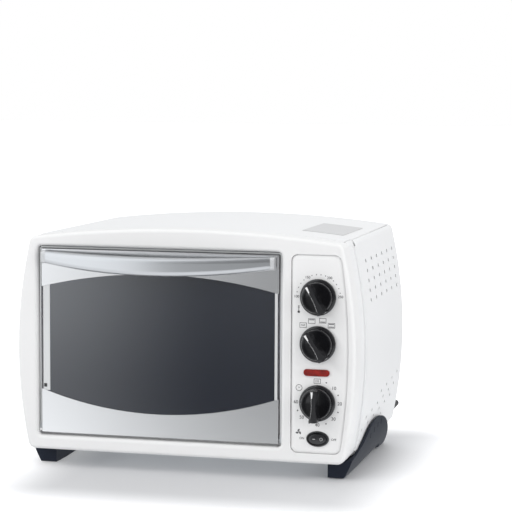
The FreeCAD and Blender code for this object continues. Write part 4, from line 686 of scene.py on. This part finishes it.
# %% Dot tree
def dot_tree():
    tree = bpy.data.node_groups.new("dial_dots", "GeometryNodeTree")
    face = tree.interface
    face.new_socket("Geometry", in_out="INPUT", socket_type="NodeSocketGeometry")
    for label, kind in (("Radius", "Float"), ("Dot", "Float"), ("Start", "Float"),
                        ("Step", "Float"), ("Count", "Int"), ("Every", "Int")):
        face.new_socket(label, in_out="INPUT", socket_type="NodeSocket" + kind)
    face.new_socket("Ink", in_out="INPUT", socket_type="NodeSocketMaterial")
    face.new_socket("Geometry", in_out="OUTPUT", socket_type="NodeSocketGeometry")
    nodes, links = tree.nodes, tree.links
    start = nodes.new("NodeGroupInput").outputs

    def maths(operation, one, two=None):
        node = nodes.new("ShaderNodeMath")
        node.operation = operation
        for socket, value in zip(node.inputs, (one, two)):
            if isinstance(value, (int, float)):
                socket.default_value = value
            elif value is not None:
                links.new(value, socket)
        return node.outputs[0]

    row = nodes.new("GeometryNodeMeshLine")
    links.new(start["Count"], row.inputs["Count"])
    index = nodes.new("GeometryNodeInputIndex").outputs[0]
    angle = maths("ADD", start["Start"], maths("MULTIPLY", index, start["Step"]))
    place = nodes.new("ShaderNodeCombineXYZ")
    links.new(maths("MULTIPLY", start["Radius"], maths("COSINE", angle)), place.inputs["X"])
    links.new(maths("MULTIPLY", start["Radius"], maths("SINE", angle)), place.inputs["Z"])
    bend = nodes.new("GeometryNodeSetPosition")
    links.new(row.outputs["Mesh"], bend.inputs["Geometry"])
    links.new(place.outputs["Vector"], bend.inputs["Position"])
    at_number = nodes.new("FunctionNodeCompare")
    at_number.data_type = "FLOAT"
    at_number.operation = "LESS_THAN"
    links.new(maths("MODULO", index, start["Every"]), at_number.inputs["A"])
    at_number.inputs["B"].default_value = 0.5
    thin_out = nodes.new("GeometryNodeDeleteGeometry")
    links.new(bend.outputs["Geometry"], thin_out.inputs["Geometry"])
    links.new(at_number.outputs["Result"], thin_out.inputs["Selection"])
    dot = nodes.new("GeometryNodeMeshCylinder")
    dot.inputs["Vertices"].default_value = 16
    dot.inputs["Depth"].default_value = INK_PROUD
    links.new(start["Dot"], dot.inputs["Radius"])
    stand = nodes.new("GeometryNodeInstanceOnPoints")
    stand.inputs["Rotation"].default_value = (math.radians(90), 0, 0)
    links.new(thin_out.outputs["Geometry"], stand.inputs["Points"])
    links.new(dot.outputs["Mesh"], stand.inputs["Instance"])
    real = nodes.new("GeometryNodeRealizeInstances")
    links.new(stand.outputs["Instances"], real.inputs["Geometry"])
    paint = nodes.new("GeometryNodeSetMaterial")
    links.new(real.outputs["Geometry"], paint.inputs["Geometry"])
    links.new(start["Ink"], paint.inputs["Material"])
    links.new(paint.outputs["Geometry"], nodes.new("NodeGroupOutput").inputs["Geometry"])
    return tree


def from_tree(name, tree, points=(), **values):
    """Run a Geometry Nodes tree on some points and give back the plain mesh it makes."""
    seed = bpy.data.meshes.new(name)
    seed.from_pydata(points, [], [])
    holder = bpy.data.objects.new(name, seed)
    bpy.context.scene.collection.objects.link(holder)
    modifier = holder.modifiers.new(name, "NODES")
    modifier.node_group = tree
    for item in tree.interface.items_tree:
        if item.item_type == "SOCKET" and item.in_out == "INPUT" and item.name in values:
            modifier[item.identifier] = values[item.name]
    mesh = settled(holder)
    bpy.data.objects.remove(holder)
    return mesh


dots = dot_tree()
for name, z, start_angle, step, count, every, size in (
        ("temp_dots", TEMP_Z, 180, -12, 16, 5, 0.6),
        ("timer_dots", TIMER_Z, 90, -22.5, 13, 2, 0.85)):
    mesh = from_tree(name, dots, Radius=DIAL_RING * MM, Dot=size * MM,
                     Start=math.radians(start_angle), Step=math.radians(step), Count=count,
                     Every=every, Ink=ink)
    mesh.transform(Matrix.Translation((KNOB_X * MM, PANEL_Y - INK_PROUD / 2, z * MM)))
    add_piece(name, mesh, "panel_white", "oven_body", material=ink)
    print(name, len(mesh.polygons), "faces")

# %% [markdown]
# ## Rocker switch
#
# The fan switch is a black oval: a rounded rim with a tube behind it, and a button that rocks in
# the tube on an upright pivot. Both are stacks of ovals joined by quads, which gives a soft edge
# for a few numbers. The button is drawn flat at its pivot and then turned by its resting tilt,
# and so are its two white marks, a dash for ON and a ring for OFF.

# %% Rocker
ROCKER_X, ROCKER_Z, ROCKER_TILT = 163.2, 51.6, 6
ROCKER_FACE = -4 * MM
CASE_RINGS = [(11.8, 7.5, 13), (11.8, 7.5, 0), (13.5, 9.2, 0), (13.5, 9.2, -0.9),
              (13.25, 8.95, -1.5), (12.8, 8.5, -1.9), (12.3, 8.0, -2.0), (11.8, 7.5, -1.85),
              (11.4, 7.1, -1.4), (11.3, 7.0, -0.8), (11.3, 7.0, 13)]
BUTTON_RINGS = [(10.7, 6.4, 4), (10.7, 6.4, -2.6), (10.5, 6.2, -3.3), (10.1, 5.8, -3.75),
                (9.5, 5.2, -4)]


def oval_shell(rings, closed, steps=72):
    """A surface through ovals of (half width, half height, y) in millimetres."""
    shape = bmesh.new()
    loops = [[shape.verts.new((wide * MM * math.cos(math.tau * n / steps), y * MM,
                               high * MM * math.sin(math.tau * n / steps)))
              for n in range(steps)] for wide, high, y in rings]
    pairs = list(zip(loops, loops[1:]))
    if closed:
        pairs.append((loops[-1], loops[0]))
    else:
        shape.faces.new(loops[0])
        shape.faces.new(loops[-1])
    for one, two in pairs:
        for n in range(steps):
            m = (n + 1) % steps
            shape.faces.new((one[n], one[m], two[m], two[n]))
    return shape


case = oval_shell(CASE_RINGS, closed=True)
case.transform(Matrix.Translation((ROCKER_X * MM, PANEL_Y, ROCKER_Z * MM)))
add_piece("rocker_case", smooth(mesh_from(case, "rocker_case")), "switch_black", "oven_body",
          ["rocker_bezel"])
tilted = (Matrix.Translation((ROCKER_X * MM, PANEL_Y + MM, ROCKER_Z * MM))
          @ Matrix.Rotation(math.radians(ROCKER_TILT), 4, "Z"))
button = oval_shell(BUTTON_RINGS, closed=False)
button.transform(tilted)
add_piece("rocker_key", smooth(mesh_from(button, "rocker_key")), "switch_black", "rocker",
          ["rocker_button"])
marks = bmesh.new()
stroke(marks, [(-5.4, 0), (-3.0, 0)], 0.5, y=ROCKER_FACE)
stroke(marks, round_path(4.2, 0, 1.6), 0.5, closed=True, y=ROCKER_FACE)
marks.transform(tilted)
add_piece("rocker_marks", mesh_from(marks, "rocker_marks"), "marker_white", "rocker")
print("rocker tilted by", ROCKER_TILT, "degrees")

# %% [markdown]
# ## Plate on the roof
#
# A thin grey plate lies on the roof behind the bezel's right end. It is bare here. It follows
# the arch, so it is a strip of quads whose height comes from the same circle as the roof, and
# it is given its thickness afterwards.

# %% Roof plate
roof_low, roof_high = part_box("top_cover")
PLATE_LEFT, PLATE_RIGHT = 122 * MM, 172 * MM
DOOR_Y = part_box("door_top_panel")[0].y
PLATE_NEAR, PLATE_FAR = DOOR_Y + 85 * MM, DOOR_Y + 199 * MM
PLATE_THICK = 0.5 * MM
ROOF_HALF = roof_high.x
ROOF_RISE = roof_high.z - (roof_low.z + 1 * MM)
ROOF_RADIUS = (ROOF_HALF ** 2 + ROOF_RISE ** 2) / (2 * ROOF_RISE)


def roof_height(x):
    return roof_high.z - ROOF_RADIUS + math.sqrt(ROOF_RADIUS ** 2 - x ** 2)


plate_grey = finish("plate_grey", (0.57, 0.57, 0.575), (0.61, 0.61, 0.615), (0.3, 0.4))
sheet_mesh = bmesh.new()
columns = 24
near_row, far_row = [], []
for n in range(columns + 1):
    x = PLATE_LEFT + (PLATE_RIGHT - PLATE_LEFT) * n / columns
    near_row.append(sheet_mesh.verts.new((x, PLATE_NEAR, roof_height(x) + 0.1 * MM)))
    far_row.append(sheet_mesh.verts.new((x, PLATE_FAR, roof_height(x) + 0.1 * MM)))
for n in range(columns):
    sheet_mesh.faces.new((near_row[n], near_row[n + 1], far_row[n + 1], far_row[n]))
bmesh.ops.recalc_face_normals(sheet_mesh, faces=sheet_mesh.faces)
raised = bmesh.ops.extrude_face_region(sheet_mesh, geom=sheet_mesh.faces[:])
for vert in raised["geom"]:
    if isinstance(vert, bmesh.types.BMVert):
        vert.co.z += PLATE_THICK - 0.1 * MM
add_piece("roof_plate", mesh_from(sheet_mesh, "roof_plate"), "white_enamel", "oven_body",
          material=plate_grey)
print("roof radius %.0f mm" % (ROOF_RADIUS / MM))

# %% [markdown]
# ## Strips beside the dark pane
#
# The door's glass is silvered along its two upright edges, from the top sheet's curve to the
# bottom one's. Two thin strips on the glass show that.

# %% Door strips
glass_low, glass_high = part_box("door_glass")
pane_low, pane_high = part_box("inner_glass")
STRIP_PROUD = 0.3 * MM
strip_silver = finish("strip_silver", (0.66, 0.67, 0.67), (0.70, 0.71, 0.71), (0.35, 0.42),
                      metal=0.3)
strips = bmesh.new()
for left, right in ((glass_low.x, pane_low.x), (pane_high.x, glass_high.x)):
    plate(strips, [(left, 93 * MM), (right, 93 * MM), (right, 221 * MM), (left, 221 * MM)],
          glass_low.y - 0.02 * MM, glass_low.y - STRIP_PROUD)
add_piece("door_edge_strips", mesh_from(strips, "door_edge_strips"), "door_silver", "door",
          material=strip_silver)
clip = bmesh.new()
plate(clip, [(x * MM, z * MM) for x, z in ((-175.4, 97), (-172, 97), (-172, 101), (-175.4, 101))],
      glass_low.y, glass_low.y - MM)
add_piece("glass_clip", mesh_from(clip, "glass_clip"), "switch_black", "door")

# %% [markdown]
# ## Trim in the door gap
#
# A thin bright strip runs round the opening between the door and the front frame, on the left,
# over the top and down the right. It is one outline with square ends and clipped corners, raised
# a little. A white button closes the left hinge at the foot of the gap.

# %% Opening trim
TRIM_DEEP = 2.5 * MM
outer_side, inner_side = (-180.9, 117.9), (-179.4, 116.4)
foot, outer_top, inner_top = 48.5, 266.4, 264.9
trim_points = [(outer_side[0], foot), (outer_side[0], outer_top - 2.4),
               (outer_side[0] + 2.4, outer_top), (outer_side[1] - 2.4, outer_top),
               (outer_side[1], outer_top - 2.4), (outer_side[1], foot), (inner_side[1], foot),
               (inner_side[1], inner_top - 1.6), (inner_side[1] - 1.6, inner_top),
               (inner_side[0] + 1.6, inner_top), (inner_side[0], inner_top - 1.6),
               (inner_side[0], foot)]
trim = bmesh.new()
plate(trim, [(x * MM, z * MM) for x, z in trim_points], DOOR_Y + 2 * MM + TRIM_DEEP,
      DOOR_Y + 2 * MM)
add_piece("opening_trim", mesh_from(trim, "opening_trim"), "zinc_sheet", "oven_body",
          material=strip_silver)
button = lathe([(0, 2 * MM), (1.7 * MM, 2 * MM), (1.7 * MM, 0.8 * MM), (1.4 * MM, 0.4 * MM),
                (0, 0.25 * MM)], steps=32)
button.transform(Matrix.Translation((-0.180, DOOR_Y, 0.045)))
add_piece("hinge_button", smooth(mesh_from(button, "hinge_button")), "white_moulding",
          "oven_body")

# %% [markdown]
# ## Screws in the back plate
#
# The screws that hold the back plate have domed heads with a cross recess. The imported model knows
# where they are, so their middles are read from its mesh. A Geometry Nodes tree builds one head,
# flattening a ball and cutting a cross from it, and sets a copy on every point.

# %% Screws
def middles(node, reach=0.012):
    """The middle of each separate little solid in a node."""
    groups = []
    for vert in frame["nodes"][node].data.vertices:
        for found in groups:
            if (found[0] - vert.co).length < reach:
                found.append(vert.co.copy())
                break
        else:
            groups.append([vert.co.copy()])
    return [sum(found, Vector()) / len(found) for found in groups]


def screw_tree():
    tree = bpy.data.node_groups.new("cross_screws", "GeometryNodeTree")
    face = tree.interface
    face.new_socket("Geometry", in_out="INPUT", socket_type="NodeSocketGeometry")
    for label in ("Radius", "Flatness", "Recess"):
        face.new_socket(label, in_out="INPUT", socket_type="NodeSocketFloat")
    face.new_socket("Steel", in_out="INPUT", socket_type="NodeSocketMaterial")
    face.new_socket("Geometry", in_out="OUTPUT", socket_type="NodeSocketGeometry")
    nodes, links = tree.nodes, tree.links
    start = nodes.new("NodeGroupInput").outputs

    def vector(x, y, z):
        node = nodes.new("ShaderNodeCombineXYZ")
        for socket, value in zip(node.inputs, (x, y, z)):
            if isinstance(value, (int, float)):
                socket.default_value = value
            else:
                links.new(value, socket)
        return node.outputs["Vector"]

    ball = nodes.new("GeometryNodeMeshUVSphere")
    ball.inputs["Segments"].default_value = 28
    ball.inputs["Rings"].default_value = 14
    links.new(start["Radius"], ball.inputs["Radius"])
    dome = nodes.new("GeometryNodeTransform")
    links.new(ball.outputs["Mesh"], dome.inputs["Geometry"])
    links.new(vector(1, start["Flatness"], 1), dome.inputs["Scale"])
    cut = nodes.new("GeometryNodeMeshBoolean")
    cut.operation = "DIFFERENCE"
    links.new(dome.outputs["Geometry"], cut.inputs["Mesh 1"])
    deep, thin = 2.4 * MM, 0.7 * MM
    for long_x in (True, False):
        bar = nodes.new("GeometryNodeMeshCube")
        size = ((start["Recess"], deep, thin) if long_x else (thin, deep, start["Recess"]))
        links.new(vector(*size), bar.inputs["Size"])
        raised = nodes.new("GeometryNodeTransform")
        raised.inputs["Translation"].default_value = (0, 2.1 * MM, 0)
        links.new(bar.outputs["Mesh"], raised.inputs["Geometry"])
        links.new(raised.outputs["Geometry"], cut.inputs["Mesh 2"])
    stand = nodes.new("GeometryNodeInstanceOnPoints")
    links.new(start["Geometry"], stand.inputs["Points"])
    links.new(cut.outputs["Mesh"], stand.inputs["Instance"])
    real = nodes.new("GeometryNodeRealizeInstances")
    links.new(stand.outputs["Instances"], real.inputs["Geometry"])
    paint = nodes.new("GeometryNodeSetMaterial")
    links.new(real.outputs["Geometry"], paint.inputs["Geometry"])
    links.new(start["Steel"], paint.inputs["Material"])
    links.new(paint.outputs["Geometry"], nodes.new("NodeGroupOutput").inputs["Geometry"])
    return tree


back_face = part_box("rear_panel")[1].y
spots = [(place.x, back_face, place.z) for place in middles("body_screws")]
mesh = from_tree("back_screws", screw_tree(), points=spots, Radius=3.1 * MM, Flatness=0.52,
                 Recess=3.4 * MM, Steel=FINISHES["screw_steel"])
add_piece("back_screws", smooth(mesh), "screw_steel", "oven_body", ["body_screws"])
print(len(spots), "screws,", len(mesh.polygons), "faces")

# %% [markdown]
# ## Studio
#
# White goods are shot in a bright, even studio. The world gives most of the light at a plain
# level. One large soft lamp at the left front shapes the fronts, a weak one above the back draws
# the soft shadow forwards, a third fills the right side, and the floor is almost white. To the camera the world is pure white.
# Metal and glass see a brighter field to the left, a dimmer one to the right and a dark band low
# in front, which is what draws the long gradients on the door. The floor has a painted glow of
# its own for the camera, nothing close to the oven and more further out, so that a painted shade
# stays round the oven and far away the floor meets the background without a line.

# %% World
world = bpy.data.worlds.new("studio_world")
bpy.context.scene.world = world
world.use_nodes = True
nodes, links = world.node_tree.nodes, world.node_tree.links
nodes.clear()
AMBIENT = 0.93
DIM, BRIGHT, GROUND = 0.30, 1.42, 1.10
EDGE_TURN = math.radians(17.5)
LEFT_OF_EDGE = (-math.cos(EDGE_TURN), math.sin(EDGE_TURN), 0)


def ramp(value, low, high, start, end):
    """A smooth step from one level to another between two places."""
    node = nodes.new("ShaderNodeMapRange")
    node.interpolation_type = "SMOOTHSTEP"
    for label, number in (("From Min", low), ("From Max", high), ("To Min", start),
                          ("To Max", end)):
        node.inputs[label].default_value = number
    links.new(value, node.inputs["Value"])
    return node.outputs["Result"]


def blend(factor, one, two):
    node = nodes.new("ShaderNodeMix")
    node.data_type = "FLOAT"
    for socket, value in zip(node.inputs, (factor, None, one, two)):
        if isinstance(value, (int, float)):
            socket.default_value = value
        elif value is not None:
            links.new(value, socket)
    return node.outputs["Result"]


def maths(operation, one, two):
    node = nodes.new("ShaderNodeMath")
    node.operation = operation
    for socket, value in zip(node.inputs, (one, two)):
        if isinstance(value, (int, float)):
            socket.default_value = value
        else:
            links.new(value, socket)
    return node.outputs["Value"]


path = nodes.new("ShaderNodeLightPath").outputs
way = nodes.new("ShaderNodeTexCoord").outputs["Generated"]
across = nodes.new("ShaderNodeVectorMath")
across.operation = "DOT_PRODUCT"
links.new(way, across.inputs[0])
across.inputs[1].default_value = LEFT_OF_EDGE
parts = nodes.new("ShaderNodeSeparateXYZ")
links.new(way, parts.inputs[0])
height = parts.outputs["Z"]
beside = ramp(across.outputs["Value"], -0.03, 0.075, DIM, BRIGHT)
behind = ramp(parts.outputs["Y"], -0.15, 0.25, 1.0, 0.58)
low = maths("MULTIPLY", ramp(height, -0.165, -0.105, 0.62, 1.0),
            ramp(height, -0.19, -0.168, 2.2, 1.0))
field = maths("MULTIPLY", maths("MULTIPLY", beside, behind), low)
mirrored = blend(ramp(height, -0.30, -0.175, 1.0, 0.0), field, GROUND)
lit = blend(path["Is Glossy Ray"], AMBIENT, mirrored)
through = maths("MAXIMUM", path["Is Camera Ray"], path["Is Transmission Ray"])
sky = nodes.new("ShaderNodeBackground")
tint = nodes.new("ShaderNodeMix")
tint.data_type = "RGBA"
tint.inputs["A"].default_value = (1, 1, 1, 1)
tint.inputs["B"].default_value = (0.95, 0.975, 1.0, 1)
links.new(path["Is Glossy Ray"], tint.inputs["Factor"])
links.new(tint.outputs["Result"], sky.inputs["Color"])
links.new(blend(through, lit, 1.0), sky.inputs["Strength"])
links.new(sky.outputs["Background"], nodes.new("ShaderNodeOutputWorld").inputs["Surface"])


# %% Lamps
def soft_lamp(name, at, aim, side, power):
    data = bpy.data.lights.new(name, "AREA")
    data.shape = "SQUARE"
    data.size = side
    data.energy = power
    lamp = bpy.data.objects.new(name, data)
    bpy.context.scene.collection.objects.link(lamp)
    lamp.matrix_world = (Matrix.Translation(at)
                         @ (Vector(aim) - Vector(at)).to_track_quat("-Z", "Y").to_matrix().to_4x4())
    return lamp


LAMPS = [soft_lamp("key_lamp", (-1.6, -2.1, 1.6), (0, 0, 0.1), 1.6, 20),
         soft_lamp("back_lamp", (0.2, 1.2, 2.4), (0, 0, 0.1), 1.6, 6),
         soft_lamp("fill_lamp", (2.6, -0.9, 0.9), (0, 0, 0.1), 2.0, 26)]
for lamp in LAMPS:
    lamp.visible_glossy = False

# %% Floor
floor_mesh = bpy.data.meshes.new("studio_floor")
reach = 14
floor_mesh.from_pydata([(-reach, -reach, 0), (reach, -reach, 0), (reach, reach, 0),
                        (-reach, reach, 0)], [], [(0, 1, 2, 3)])
floor = bpy.data.objects.new("studio_floor", floor_mesh)
bpy.context.scene.collection.objects.link(floor)
floor.visible_glossy = False
floor_white = finish("floor_white", (0.70, 0.705, 0.72), (0.705, 0.71, 0.725), (0.55, 0.6))
nodes, links = floor_white.node_tree.nodes, floor_white.node_tree.links
spot = nodes.new("ShaderNodeSeparateXYZ")
links.new(nodes.new("ShaderNodeTexCoord").outputs["Object"], spot.inputs[0])
# Painted shade and painted glow: the floor emits light for the camera, none inside this box round
# the oven and more the further out a point lies.
PAINTED_SHADE_CENTRE, PAINTED_SHADE_HALF = (0.04, -0.055), (0.16, 0.205)


def beyond(axis, centre, half):
    """How far a point of the floor lies past the edge of the painted shade round the oven, measured
    along one axis.
    """
    off_centre = maths("ABSOLUTE", maths("SUBTRACT", spot.outputs[axis], centre), 0)
    return maths("MAXIMUM", maths("SUBTRACT", off_centre, half), 0)


beyond_x = beyond("X", PAINTED_SHADE_CENTRE[0], PAINTED_SHADE_HALF[0])
beyond_y = beyond("Y", PAINTED_SHADE_CENTRE[1], PAINTED_SHADE_HALF[1])
distance = maths("SQRT", maths("ADD", maths("MULTIPLY", beyond_x, beyond_x),
                               maths("MULTIPLY", beyond_y, beyond_y)), 0)
# Painted glow, rising with the distance past the painted shade's edge.
painted_glow = ramp(distance, -0.01, 0.13, 0.0, 0.6)
path = nodes.new("ShaderNodeLightPath").outputs
seen = maths("MAXIMUM", path["Is Camera Ray"], path["Is Transmission Ray"])
shader = nodes["Principled BSDF"]
shader.inputs["Emission Color"].default_value = (1, 1, 1, 1)
links.new(maths("MULTIPLY", painted_glow, seen), shader.inputs["Emission Strength"])
floor_mesh.materials.append(floor_white)

bpy.context.scene.view_settings.view_transform = "Standard"
